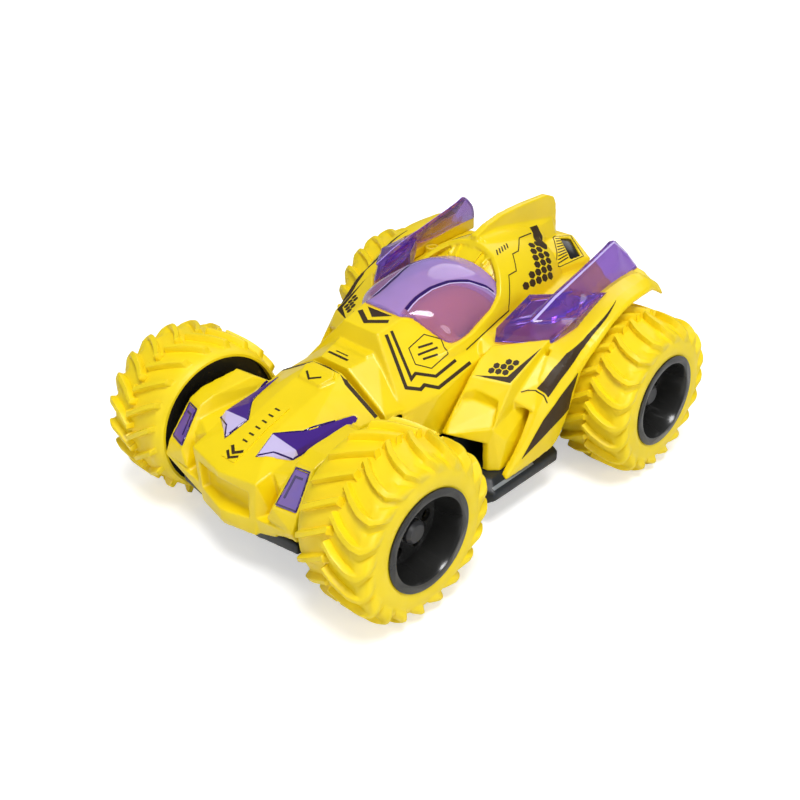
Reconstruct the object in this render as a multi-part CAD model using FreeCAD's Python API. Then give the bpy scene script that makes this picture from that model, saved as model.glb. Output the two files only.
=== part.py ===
"""Radio controlled stunt car with four big soft tyres.

Frame: +X forward, +Y to the car's left, +Z up, in millimetres. The origin is on the ground, midway
between the two axles. Left-hand pieces are modelled first, and the right-hand ones mirror them.
Only the tyres differ: they are one moulding, and those on the right are turned about.
"""
import FreeCAD, Part
import itertools
import math
import os

from FreeCAD import Vector

os.makedirs("parts", exist_ok=True)

# Running gear
AXLE_X = 61.35            # half the wheelbase
AXLE_Z = 31.2             # the axle height is the tyre's radius
TYRE_R = AXLE_Z
TYRE_WIDTH = 32.4
CARCASS_R = 28.5          # tread surface between the lugs
TYRE_WALL = 2.5
LUG_COUNT = 20
FRONT_LUG_PHASES = (3.4, 8.7)      # left and right: how far a lug at the tyre's middle is past the top
REAR_LUG_PHASES = (8.0, 11.4)
FRONT_RIM_Y = 68.5        # the outer face of each rim
REAR_RIM_Y = 76.4
RIM_R = 18.0
BEAD_R = 17.4
BACK_R = 25.2             # the tyre's open back, where the rim's back plate sits
SHAFT_R = 1.5
RUNNING_GAP = 0.05        # radial clearance of a shaft in its hole

# Bodywork
WALL = 1.8
CANOPY_WALL = 1.6
RIM_LINE = 30.0           # where the upper shells meet the chassis
CHASSIS_BOTTOM = 12.0
TAIL_HALF = 41.5

# Rear drive, on each side: motor pinion, compound gear, drive gear
MODULE = 0.5
PINION_TEETH = 10
WHEEL_TEETH = 36
GEAR_DISTANCE = MODULE * (PINION_TEETH + WHEEL_TEETH) / 2
IDLER_X = -AXLE_X + 11.4
IDLER_Z = AXLE_Z - math.sqrt(GEAR_DISTANCE ** 2 - 11.4 ** 2)
MOTOR_X = IDLER_X + 11.3
MOTOR_Z = IDLER_Z - math.sqrt(GEAR_DISTANCE ** 2 - 11.3 ** 2)
MOTOR_R = 10.0
MOTOR_FLAT = 7.5          # half the motor's height across its flats
CASE_Y = (26.0, 37.2)
COVER_Y = (37.2, 39.0)
MOTOR_Y = (1.4, CASE_Y[0] - 0.2)
LARGE_GEAR_Y = (CASE_Y[0] + 2.4, CASE_Y[0] + 5.2)
DRIVE_GEAR_Y = (CASE_Y[0] + 6.4, CASE_Y[0] + 9.4)
CASE_X = (-73.0, -29.0)
CASE_Z = (18.0, 43.0)
CASE_WALL = 1.5
BOSS_END = 43.7
BUSH_R = 3.0
PIN_R = 1.0

# Battery, board and switch
CELL_R = 7.25
CELL_LENGTH = 50.5
CELL_X = (-24.0, -24.0 + CELL_LENGTH)
CELL_PITCH = 15.0
SPRING_TURNS = 2
SPRING_STEPS = 10          # straight lengths of wire in a turn
SPRING_LENGTH = 1.7
CELL_Z = 21.7
BAY_X = (-28.0, 28.5)
BAY_Y = 24.0
BAY_TOP = 30.4
BOARD_X = (-24.0, 26.0)
BOARD_Y = 17.0
BOARD_Z = 32.0
BOARD_THICK = 1.2
SWITCH_X = 42.0
SWITCH_TRAVEL = 4.0
SCREW_BOSS_R = 3.8
BOARD_POST_R = 2.0
AXLE_CLEARANCE = 5.2       # the shells' gap round the axle
SCREW_R = 1.3
SCREW_HEAD_R = 2.6
NOSE_SCREWS = [(50.0, 17.0), (50.0, -17.0)]
CAB_SCREWS = [(-20.0, 28.0), (-20.0, -28.0)]
BODY_SCREWS = NOSE_SCREWS + CAB_SCREWS

TOLERANCE = 1e-6


# --- shape helpers ---------------------------------------------------------------------------

def vec(point):
    return Vector(*point)


def box(xs, ys, zs):
    """A box between the two values on each axis."""
    low = Vector(min(xs), min(ys), min(zs))
    return Part.makeBox(abs(xs[1] - xs[0]), abs(ys[1] - ys[0]), abs(zs[1] - zs[0]), low)


def rod(x, z, ys, radius):
    """A round bar along Y."""
    return Part.makeCylinder(radius, abs(ys[1] - ys[0]), Vector(x, min(ys), z), Vector(0, 1, 0))


def post(x, y, zs, radius):
    """A round bar along Z."""
    return Part.makeCylinder(radius, abs(zs[1] - zs[0]), Vector(x, y, min(zs)), Vector(0, 0, 1))


def facets(points):
    """The flat facets of the points' convex hull, as (outward normal, offset, members)."""
    found = {}
    for a, b, c in itertools.combinations(points, 3):
        normal = (b - a).cross(c - a)
        if normal.Length < 1e-3:
            continue
        normal.normalize()
        heights = [(p - a).dot(normal) for p in points]
        if max(heights) > TOLERANCE and min(heights) < -TOLERANCE:
            continue
        if max(heights) > TOLERANCE:
            normal = normal * -1
        members = frozenset(i for i, height in enumerate(heights) if abs(height) <= TOLERANCE)
        found[members] = (normal, normal.dot(a))
    return [(normal, offset, members) for members, (normal, offset) in found.items()]


def around(points, normal):
    """The points of one facet, in order round its centre."""
    centre = sum(points, Vector()) * (1.0 / len(points))
    side = (points[0] - centre).normalize()
    up = normal.cross(side)
    return sorted(points, key=lambda p: math.atan2((p - centre).dot(up), (p - centre).dot(side)))


def hull(points):
    """The closed convex solid round the points."""
    points = [vec(p) for p in points]
    faces = []
    for normal, _, members in facets(points):
        ring = around([points[i] for i in members], normal)
        faces.append(Part.Face(Part.makePolygon(ring + ring[:1])))
    return Part.Solid(Part.Shell(faces))


def under_plane(normal, offset):
    """A large block filling the space behind a plane."""
    size = 400.0
    block = Part.makeBox(size, size, size, Vector(-size / 2, -size / 2, -size))
    block.Placement = FreeCAD.Placement(normal * offset, FreeCAD.Rotation(Vector(0, 0, 1), normal))
    return block


def hollow_under(points, inset=WALL, drop=3.0):
    """The space inside a hull's walls, open below: no facet that faces down bounds it."""
    points = [vec(p) for p in points]
    room = under_plane(Vector(0, 0, -1), drop - min(p.z for p in points))
    for normal, offset, _ in facets(points):
        if normal.z > -0.5:
            room = room.common(under_plane(normal, offset - inset))
    return room


def both(points):
    """The points and their mirror images across the centre plane."""
    return list(points) + [(x, -y, z) for x, y, z in points if abs(y) > TOLERANCE]


def mirrored(shape):
    return shape.mirror(Vector(0, 0, 0), Vector(0, 1, 0))


def join(shapes):
    shapes = list(shapes)
    return shapes[0].multiFuse(shapes[1:]).removeSplitter() if len(shapes) > 1 else shapes[0]


def largest(shape):
    """The main solid of a cut shape, without any scraps."""
    return max(shape.Solids, key=lambda solid: solid.Volume)


def strip(stations):
    """A solid through a row of sections, each (x, [(y, z), ...]), as one hull per neighbouring pair."""
    rows = [[(x, y, z) for y, z in section] for x, section in stations]
    return join(hull(first + second) for first, second in zip(rows, rows[1:]))


def arch_section(x, half, base, crown):
    """A closed upright section: half an ellipse standing on a flat base."""
    turns = [math.pi * step / 12 for step in range(13)]
    ring = [Vector(x, half * math.cos(turn), base + (crown - base) * math.sin(turn)) for turn in turns]
    curve = Part.BSplineCurve()
    curve.interpolate(ring)
    return Part.Wire([curve.toShape(), Part.LineSegment(ring[-1], ring[0]).toShape()])


def dome(stations):
    """A smooth solid through half-elliptic sections, each (x, half width, base, crown)."""
    return Part.makeLoft([arch_section(*station) for station in stations], True, False)


def turned(profile, y_face, x=AXLE_X):
    """A solid of revolution about a wheel's axis. The profile is (radius, depth inward from the face)."""
    ring = [Vector(x, y_face - depth, AXLE_Z + radius) for radius, depth in profile]
    face = Part.Face(Part.makePolygon(ring + ring[:1]))
    return face.revolve(Vector(x, 0, AXLE_Z), Vector(0, 1, 0), 360)


NODES = {}


def keep(name, shape):
    NODES[name] = shape


def keep_pair(name, shape):
    """A left-hand piece and its mirror image."""
    keep(name + "_left", shape)
    keep(name + "_right", mirrored(shape))


# --- wheels ----------------------------------------------------------------------------------

def lug_block(rows):
    """One lug from rows of (depth, half width, radius low, radius high, angle in degrees)."""
    points = []
    for depth, half, low, high, angle in rows:
        turn = math.radians(angle)
        for radius in (low, high):
            for side in (-half, half):
                swing = turn + side / radius
                points.append((AXLE_X + radius * math.sin(swing), FRONT_RIM_Y - depth,
                               AXLE_Z + radius * math.cos(swing)))
    return hull(points)


def make_tyre(phase):
    """A soft, open-backed tyre with a row of straight inner lugs and a row of swept outer lugs."""
    carcass = turned([(BEAD_R, 0.8), (20.5, 0.2), (25.0, 1.2), (27.6, 4.2), (CARCASS_R, 8.0),
                      (CARCASS_R, 26.5), (27.4, 30.5), (26.4, TYRE_WIDTH), (BACK_R, TYRE_WIDTH),
                      (BACK_R, 28.0), (CARCASS_R - TYRE_WALL, 24.0), (CARCASS_R - TYRE_WALL, 8.5),
                      (24.0, 4.0), (BEAD_R, 3.4)], FRONT_RIM_Y)
    envelope = turned([(10, -1.0), (24.5, -0.6), (28.6, 2.2), (TYRE_R, 6.0), (TYRE_R, 27.0),
                       (28.4, 31.0), (26.4, TYRE_WIDTH), (10, TYRE_WIDTH)], FRONT_RIM_Y)
    pitch = 360.0 / LUG_COUNT
    lugs = []
    for index in range(LUG_COUNT):
        start = phase + index * pitch
        lugs.append(lug_block([(15.5, 1.1, 27.0, 32.0, start + 9.0), (27.4, 1.2, 27.0, 32.0, start + 23.0),
                               (30.0, 1.2, 26.0, 29.0, start + 25.0)]))
        lugs.append(lug_block([(16.8, 1.1, 27.0, 32.0, start), (8.0, 1.3, 27.0, 32.0, start + 9.0)]))
        lugs.append(lug_block([(8.0, 1.3, 27.0, 32.0, start + 9.0), (2.5, 1.6, 26.0, 31.0, start + 11.5)]))
        lugs.append(lug_block([(3.0, 1.8, 25.5, 31.0, start + 11.5), (0.9, 1.6, 23.5, 28.0, start + 5.0),
                               (4.5, 1.6, 24.5, 28.0, start + 6.0)]))
    return carcass.multiFuse(lugs).common(envelope)


def make_rim(bore, face_y, x):
    """A deep dished rim with a hub, round holes in its floor and a back plate inside the tyre."""
    rim = turned([(bore, 8.5), (4.5, 8.5), (4.5, 10.0), (13.2, 10.6), (14.6, 2.0), (15.2, 0.0),
                  (RIM_R, 0.0), (RIM_R, 0.8), (BEAD_R, 0.8), (BEAD_R, 26.0), (BACK_R, 28.0),
                  (BACK_R, 29.8), (15.8, 28.4), (15.8, 12.4), (4.5, 12.2), (4.5, 32.0), (bore, 32.0)],
                 face_y, x)
    for index in range(6):
        turn = math.radians(60 * index + 30)
        hole = rod(x + 9.0 * math.sin(turn), AXLE_Z + 9.0 * math.cos(turn),
                   (face_y - 13.0, face_y - 8.0), 2.2)
        rim = rim.cut(hole)
    return rim


def make_hub_cap(face_y, x):
    """A hollow cap over the end of the axle."""
    return turned([(0, 5.4), (3.0, 5.6), (4.2, 6.6), (4.2, 8.5), (3.3, 8.5), (3.3, 6.9), (0, 6.6)],
                  face_y, x)


def keep_tyres(name, phases, shift):
    """A left tyre, and a right one that is the same moulding turned about."""
    left, right = [make_tyre(phase).translated(shift) for phase in phases]
    keep(name + "_left", left)
    keep(name + "_right", right.rotated(Vector(AXLE_X + shift.x, 0, 0), Vector(0, 0, 1), 180))


def make_wheels():
    keep_tyres("tyre_front", FRONT_LUG_PHASES, Vector(0, 0, 0))
    keep_tyres("tyre_rear", REAR_LUG_PHASES, Vector(-2 * AXLE_X, REAR_RIM_Y - FRONT_RIM_Y, 0))
    keep_pair("rim_front", make_rim(SHAFT_R + RUNNING_GAP, FRONT_RIM_Y, AXLE_X))
    keep_pair("rim_rear", make_rim(SHAFT_R, REAR_RIM_Y, -AXLE_X))
    keep_pair("hub_cap_front", make_hub_cap(FRONT_RIM_Y, AXLE_X))
    keep_pair("hub_cap_rear", make_hub_cap(REAR_RIM_Y, -AXLE_X))
    keep_pair("rear_axle", rod(-AXLE_X, AXLE_Z, (25.0, REAR_RIM_Y - 8.0), SHAFT_R))
    reach = FRONT_RIM_Y - 8.4
    keep("front_axle", rod(AXLE_X, AXLE_Z, (-reach, reach), SHAFT_R))
    head = rod(AXLE_X, AXLE_Z, (reach, reach + 1.2), 2.9)
    keep("front_axle_screws", Part.makeCompound([head, mirrored(head)]))


# --- rear drive ------------------------------------------------------------------------------

def gear_blank(teeth, x, z, ys, first):
    """A spur gear with straight-sided teeth. The first tooth points at the angle, from +X to +Z."""
    pitch_r = MODULE * teeth / 2
    tip_r = pitch_r + 0.9 * MODULE
    root_r = pitch_r - 1.2 * MODULE
    step = 2 * math.pi / teeth
    shares = ((root_r, -0.29), (pitch_r, -0.21), (tip_r, -0.10), (tip_r, 0.10), (pitch_r, 0.21),
              (root_r, 0.29))
    ring = []
    for index in range(teeth):
        for radius, share in shares:
            turn = first + (index + share) * step
            ring.append(Vector(x + radius * math.cos(turn), ys[0], z + radius * math.sin(turn)))
    face = Part.Face(Part.makePolygon(ring + ring[:1]))
    return face.extrude(Vector(0, ys[1] - ys[0], 0))


def make_drive():
    to_idler = math.atan2(IDLER_Z - AXLE_Z, IDLER_X + AXLE_X)
    to_motor = math.atan2(MOTOR_Z - IDLER_Z, MOTOR_X - IDLER_X)
    half_tooth = math.pi / PINION_TEETH
    inside, outside = CASE_Y[0] + 1.0, COVER_Y[0] + 1.0
    drive = gear_blank(WHEEL_TEETH, -AXLE_X, AXLE_Z, DRIVE_GEAR_Y, to_idler)
    drive = join([drive, rod(-AXLE_X, AXLE_Z, (DRIVE_GEAR_Y[0] - 0.8, DRIVE_GEAR_Y[1] + 0.8), 3.6)])
    keep_pair("drive_gear", drive.cut(rod(-AXLE_X, AXLE_Z, (inside, outside), SHAFT_R)))
    large = gear_blank(WHEEL_TEETH, IDLER_X, IDLER_Z, LARGE_GEAR_Y, to_motor)
    small = gear_blank(PINION_TEETH, IDLER_X, IDLER_Z, (LARGE_GEAR_Y[1], DRIVE_GEAR_Y[1] + 0.6),
                       to_idler + math.pi + half_tooth)
    idler = join([large, small]).cut(rod(IDLER_X, IDLER_Z, (inside, outside), PIN_R + RUNNING_GAP))
    keep_pair("compound_gear", idler)
    pinion_y = (LARGE_GEAR_Y[0] - 0.3, LARGE_GEAR_Y[1] + 0.3)
    pinion = gear_blank(PINION_TEETH, MOTOR_X, MOTOR_Z, pinion_y, to_motor + math.pi + half_tooth)
    keep_pair("motor_pinion", pinion.cut(rod(MOTOR_X, MOTOR_Z, (inside, outside), PIN_R)))
    keep_pair("motor_shaft", rod(MOTOR_X, MOTOR_Z, (MOTOR_Y[0] + 2.0, pinion_y[1] + 0.7), PIN_R))
    keep_pair("motor", make_motor())
    pin = rod(IDLER_X, IDLER_Z, (CASE_Y[0], COVER_Y[1]), PIN_R)
    keep("idler_pins", Part.makeCompound([pin, mirrored(pin)]))
    make_gearbox()


def make_motor():
    """A small can motor with two flats, bearing bosses and solder tags."""
    can = rod(MOTOR_X, MOTOR_Z, MOTOR_Y, MOTOR_R)
    flats = box((MOTOR_X - 12, MOTOR_X + 12), MOTOR_Y, (MOTOR_Z - MOTOR_FLAT, MOTOR_Z + MOTOR_FLAT))
    boss = rod(MOTOR_X, MOTOR_Z, (MOTOR_Y[1], MOTOR_Y[1] + 1.5), 3.0)
    tags = [box((MOTOR_X + side - 0.3, MOTOR_X + side + 0.3), (0.3, MOTOR_Y[0] + 0.4),
                (MOTOR_Z + 3.0, MOTOR_Z + 5.5)) for side in (-6.0, 6.0)]
    motor = join([can.common(flats), boss] + tags)
    return motor.cut(rod(MOTOR_X, MOTOR_Z, (MOTOR_Y[0] + 1.5, CASE_Y[1]), PIN_R + RUNNING_GAP))


def make_gearbox():
    """A case with its cover, and a bronze bush in each for the rear axle."""
    case = box(CASE_X, CASE_Y, CASE_Z)
    room = box((CASE_X[0] + CASE_WALL, CASE_X[1] - CASE_WALL), (CASE_Y[0] + CASE_WALL, CASE_Y[1]),
               (CASE_Z[0] + CASE_WALL, CASE_Z[1] - CASE_WALL))
    axle_hole = rod(-AXLE_X, AXLE_Z, (20.0, 50.0), BUSH_R)
    pin_hole = rod(IDLER_X, IDLER_Z, (20.0, 50.0), PIN_R)
    motor_hole = rod(MOTOR_X, MOTOR_Z, (20.0, CASE_Y[0] + CASE_WALL), 3.0)
    keep_pair("gearbox_case", case.cut([room, axle_hole, pin_hole, motor_hole]))
    lid = join([box(CASE_X, COVER_Y, CASE_Z), rod(-AXLE_X, AXLE_Z, (COVER_Y[0], BOSS_END), 4.6)])
    keep_pair("gearbox_cover", lid.cut([axle_hole, pin_hole]))
    bore = rod(-AXLE_X, AXLE_Z, (20.0, 50.0), SHAFT_R + RUNNING_GAP)
    inner = rod(-AXLE_X, AXLE_Z, (CASE_Y[0] - 0.8, CASE_Y[0] + CASE_WALL), BUSH_R).cut(bore)
    outer = rod(-AXLE_X, AXLE_Z, (COVER_Y[0], BOSS_END + 0.4), BUSH_R).cut(bore)
    bushes = [inner, outer]
    keep("axle_bushes", Part.makeCompound(bushes + [mirrored(bush) for bush in bushes]))


# --- chassis, battery, board and switch ------------------------------------------------------

SKID = [(85.5, 12.0, 21.5), (84.5, 31.0, 23.0), (84.5, 31.0, 18.8), (85.0, 10.0, 15.4),
        (78.0, 31.0, 16.8), (76.0, 10.0, 15.4), (78.0, 31.0, 23.0), (78.0, 12.0, 21.5)]
TUB_OUTLINE = [(83.0, 18.0), (80.0, 31.5), (34.0, 31.5), (26.0, 34.0), (-24.0, 34.0), (-28.0, TAIL_HALF),
               (-82.0, TAIL_HALF), (-86.0, 30.0)]
STEP_POINTS = [(24.0, 33.0, 12.0), (14.0, 51.5, 11.0), (12.0, 54.3, 12.5), (12.0, 54.3, 15.5),
               (9.0, 50.0, 19.3), (20.0, 33.0, 19.5), (-25.0, 33.0, 12.0), (-25.0, 52.0, 11.0),
               (-25.0, 54.6, 12.5), (-25.0, 54.6, 16.5), (-25.0, 50.0, 19.8), (-25.0, 33.0, 19.8)]


def slab(outline, zs):
    """An upright block over a half outline and its mirror image."""
    ring = outline + [(x, -y) for x, y in reversed(outline)]
    ring = [Vector(x, y, zs[0]) for x, y in ring]
    return Part.Face(Part.makePolygon(ring + ring[:1])).extrude(Vector(0, 0, zs[1] - zs[0]))


def shrunk(outline, by):
    """A half outline drawn in from its ends and its side."""
    middle = sum(x for x, _ in outline) / len(outline)
    return [(x - math.copysign(by, x - middle), y - by) for x, y in outline]


def raked(lift, top):
    """The tub's side view: a flat bottom that rises towards both ends."""
    side = [(-92.0, 20.0), (-66.0, CHASSIS_BOTTOM), (62.0, CHASSIS_BOTTOM), (88.0, 18.6)]
    return prism([(x, z + lift) for x, z in side] + [(88.0, top), (-92.0, top)], 60.0)


def prism(side, half):
    """A side-view outline carried across the car."""
    ring = [Vector(x, -half, z) for x, z in side]
    return Part.Face(Part.makePolygon(ring + ring[:1])).extrude(Vector(0, 2 * half, 0))


def make_tub():
    """The open tub, with its side steps and skid nose."""
    zs = (0.0, RIM_LINE + 5)
    tub = slab(TUB_OUTLINE, zs).common(raked(0.0, RIM_LINE))
    tub = tub.cut(slab(shrunk(TUB_OUTLINE, WALL), zs).common(raked(WALL, RIM_LINE + 1)))
    step = hull(STEP_POINTS).cut(hollow_under(STEP_POINTS, 2.0))
    skid = hull(both(SKID))
    return join([tub, skid, step, mirrored(step)])


def make_chassis():
    """The tub with its axle towers, battery bay, board posts, motor cradles and screw bosses."""
    tower = hull([(AXLE_X + reach, y, z) for y in (27.0, 31.5) for reach, z in
                  ((-9, 13.0), (9, 13.0), (-4, 36.0), (4, 36.0))])
    spacer = rod(AXLE_X, AXLE_Z, (31.5, FRONT_RIM_Y - TYRE_WIDTH + 0.1), 4.0)
    cradle = [box((MOTOR_X - 7.5, MOTOR_X + 7.5), (y, y + 1.5), (13.0, MOTOR_Z - MOTOR_FLAT))
              for y in (6.0, 20.0)]
    shelf = [box((x, x + 1.5), (CASE_Y[0], COVER_Y[1]), (13.0, CASE_Z[0])) for x in (-58.0, -36.0)]
    sides = [tower, spacer] + cradle + shelf
    bay = box(BAY_X, (-BAY_Y, BAY_Y), (CHASSIS_BOTTOM, BAY_TOP))
    bay_room = box((BAY_X[0] + 1.5, BAY_X[1] - 1.5), (-BAY_Y + 1.2, BAY_Y - 1.2), (0, BAY_TOP - 1.2))
    posts = [post(x, y, (BAY_TOP - 0.2, BOARD_Z), BOARD_POST_R) for x in (-21.0, 23.0) for y in (14.0, -14.0)]
    bosses = [post(x, y, (CHASSIS_BOTTOM, RIM_LINE), SCREW_BOSS_R) for x, y in BODY_SCREWS]
    tub = join([make_tub(), bay] + sides + [mirrored(part) for part in sides] + bosses)
    tub = tub.cut(bay_room).multiFuse(posts)
    drills = [post(x, y, (0.0, RIM_LINE), SCREW_R) for x, y in BODY_SCREWS]
    sinks = [post(x, y, (0.0, CHASSIS_BOTTOM + 1.6), SCREW_HEAD_R) for x, y in BODY_SCREWS]
    slot = box((SWITCH_X - 5.0, SWITCH_X + 5.0), (-2.0, 2.0), (0.0, CHASSIS_BOTTOM + 3))
    axle = rod(AXLE_X, AXLE_Z, (-60.0, 60.0), SHAFT_R)
    rear_hole = rod(-AXLE_X, AXLE_Z, (-50.0, 50.0), 5.0).cut(rod(-AXLE_X, AXLE_Z, (-38, 38), 9.0))
    keep("chassis_tray", tub.cut(drills + sinks + [slot, axle, rear_hole]))


def spring_coil(x, y, z):
    """A conical contact spring of square wire, wound about X and narrower towards the cell."""
    stations = []
    for index in range(SPRING_TURNS * SPRING_STEPS + 1):
        turn = 2 * math.pi * index / SPRING_STEPS
        share = index / (SPRING_TURNS * SPRING_STEPS)
        middle = 4.4 - 1.8 * share
        stations.append([(x + SPRING_LENGTH * share + side, y + radius * math.cos(turn),
                          z + radius * math.sin(turn))
                         for side in (-0.3, 0.3) for radius in (middle - 0.3, middle + 0.3)])
    return join(hull(first + second) for first, second in zip(stations, stations[1:]))


def make_power():
    """Three cells, their contacts, the bay door, the receiver board and the slide switch."""
    cells, springs, plates = [], [], []
    for row in (-1, 0, 1):
        y = row * CELL_PITCH
        body = Part.makeCylinder(CELL_R, CELL_LENGTH - 1.2, Vector(CELL_X[0], y, CELL_Z), Vector(1, 0, 0))
        nub = Part.makeCylinder(2.7, 1.2, Vector(CELL_X[1] - 1.2, y, CELL_Z), Vector(1, 0, 0))
        cell = join([body, nub])
        springs.append(spring_coil(BAY_X[0] + 1.8, y, CELL_Z))
        plates.append(box((CELL_X[1], CELL_X[1] + 0.5), (y - 5.5, y + 5.5), (CELL_Z - 5.5, CELL_Z + 5)))
        cells.append(cell)
    keep("battery_cells", Part.makeCompound(cells))
    keep("contact_springs", Part.makeCompound(springs))
    keep("contact_plates", Part.makeCompound(plates))
    door = box((BAY_X[0] + 1.7, BAY_X[1] - 1.7), (-BAY_Y + 1.4, BAY_Y - 1.4), (12.2, 14.2))
    grips = [box((20.0 + 2 * i, 21.0 + 2 * i), (-8.0, 8.0), (11.8, 12.2)) for i in range(3)]
    hole = post(BAY_X[0] + 5.5, 0.0, (5.0, 15.0), SCREW_R)
    keep("battery_door", join([door] + grips).cut(hole))
    keep("battery_door_screw", make_screw(BAY_X[0] + 5.5, 0.0, 12.2, 2.0))
    keep("body_screws", Part.makeCompound([make_screw(x, y, CHASSIS_BOTTOM + 1.6, 19.0)
                                           for x, y in BODY_SCREWS]))
    make_board()
    body = box((SWITCH_X - 6.5, SWITCH_X + 6.5), (-3.5, 3.5), (14.0, 18.5))
    keep("switch_body", body.cut(box((SWITCH_X - 4.3, SWITCH_X + 4.3), (-1.2, 1.2), (10.0, 16.5))))
    knob = box((SWITCH_X - 4.0, SWITCH_X), (-1.0, 1.0), (11.4, 16.3))
    ribs = [box((SWITCH_X - 3.4 + i, SWITCH_X - 3.0 + i), (-1.0, 1.0), (11.1, 11.4)) for i in range(3)]
    keep("switch_knob", join([knob] + ribs))


def make_screw(x, y, seat, length):
    """A cross-head screw whose head hangs below its seat."""
    head = post(x, y, (seat - 1.6, seat), SCREW_HEAD_R - 0.2)
    body = join([head, post(x, y, (seat, seat + length), SCREW_R)])
    for half_x, half_y in ((1.6, 0.35), (0.35, 1.6)):
        body = body.cut(box((x - half_x, x + half_x), (y - half_y, y + half_y), (seat - 2.0, seat - 0.8)))
    return body


def make_board():
    """The receiver board and the parts soldered to it."""
    board = box(BOARD_X, (-BOARD_Y, BOARD_Y), (BOARD_Z, BOARD_Z + BOARD_THICK))
    keep("receiver_board", board)
    top = BOARD_Z + BOARD_THICK
    chips = [box((-6.0, 6.0), (-3.0, 3.0), (top, top + 1.6)),
             box((12.0, 17.0), (-2.5, 2.5), (top, top + 3.2)),
             box((-18.0, -12.0), (4.0, 10.0), (top, top + 1.6)),
             box((-18.0, -12.0), (-10.0, -4.0), (top, top + 1.6))]
    chips += [post(x, y, (top, top + 6.5), 2.5) for x, y in ((2.0, 10.0), (10.0, 10.0), (2.0, -10.0))]
    keep("board_components", Part.makeCompound(chips))


# --- bodywork --------------------------------------------------------------------------------

SNOUT = [(90.2, 0.0, 40.1), (87.9, 16.8, 41.4), (81.0, 17.4, 43.4), (71.3, 6.6, 48.7), (71.7, 18.5, 45.6),
         (80.5, 19.0, 38.3), (85.0, 19.0, 31.3), (88.2, 15.4, 27.6), (88.2, 14.6, 20.0),
         (91.2, 0.0, 21.6), (90.2, 0.0, 18.6), (60.0, 19.0, 46.0), (60.0, 6.6, 51.5), (62.0, 19.0, 26.0),
         (84.0, 15.0, 20.0)]
HOOD = [(72.0, 6.6, 48.4), (71.7, 18.5, 45.6), (60.0, 6.6, 52.6), (39.6, 7.0, 59.0), (44.1, 22.3, 48.0),
        (39.8, 12.0, 55.4), (39.8, 25.5, 48.4), (39.8, 27.5, 41.0), (39.8, 28.5, RIM_LINE),
        (72.0, 24.0, RIM_LINE), (62.0, 20.5, 46.4)]
SHOULDER = [(71.7, 18.5, 45.6), (81.0, 17.4, 43.4), (80.0, 22.6, 43.8), (78.0, 25.6, 45.2),
            (60.0, 19.0, 46.8), (52.0, 24.0, 47.0), (80.5, 19.0, 38.3), (82.8, 22.5, 40.5),
            (80.0, 19.0, RIM_LINE), (82.0, 25.0, RIM_LINE), (52.0, 24.0, RIM_LINE),
            (52.0, 19.0, RIM_LINE)]
SHELF = [(88.2, 14.6, 27.2), (88.5, 34.0, 31.0), (86.2, 34.0, 26.5), (87.2, 14.6, 20.6),
         (80.0, 34.0, 26.0), (80.0, 14.0, 22.0), (80.0, 34.0, 31.0), (81.0, 14.0, 29.0)]
POD = [(88.4, 22.0, 31.0), (88.3, 34.2, 31.2), (87.9, 24.4, 36.2), (86.0, 34.4, 36.0), (77.2, 25.6, 49.2),
       (76.2, 32.9, 49.2), (71.5, 25.0, 51.2), (70.5, 33.2, 51.2), (54.0, 24.2, 52.0), (55.5, 32.4, 52.6),
       (48.5, 21.5, 48.3), (48.5, 32.0, 46.0), (48.5, 32.0, RIM_LINE), (48.5, 22.0, RIM_LINE),
       (85.5, 22.0, 27.0), (84.5, 34.4, 27.0), (78.0, 34.4, RIM_LINE - 4)]
SIDE_LAMP = [(78.7, 26.6, 47.5), (77.5, 31.9, 47.4), (85.2, 33.2, 37.1), (87.0, 25.5, 37.3)]
LAMP_HEAD = [(80.2, 8.4, 45.2), (71.3, 6.6, 48.9), (64.0, 13.7, 49.4), (71.7, 18.5, 47.6),
             (73.5, 19.3, 45.2), (75.8, 12.5, 45.6)]
LAMP_ARM = [(64.0, 13.7, 49.4), (46.9, 19.7, 50.4), (44.1, 22.3, 48.6), (48.4, 22.2, 46.6),
            (73.5, 19.3, 45.2), (71.7, 18.5, 47.6), (68.0, 14.0, 48.6)]


def lens(outline, sink):
    """A lens whose root is sunk in the surface beneath its outline."""
    return hull(outline + [(x, y, z - sink) for x, y, z in outline])


def screw_holes(places):
    """The blind holes that the body screws bite into."""
    return [post(x, y, (RIM_LINE - 5.0, RIM_LINE + 4.0), SCREW_R) for x, y in places]


def face_plate(corners, outward, inward):
    """A thin plate over flat corners, reaching a little either way along the face's normal."""
    corners = [vec(p) for p in corners]
    normal = (corners[1] - corners[0]).cross(corners[2] - corners[0]).normalize()
    if normal.z < 0:
        normal = normal * -1
    return hull([p + normal * outward for p in corners] + [p - normal * inward for p in corners])


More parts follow.
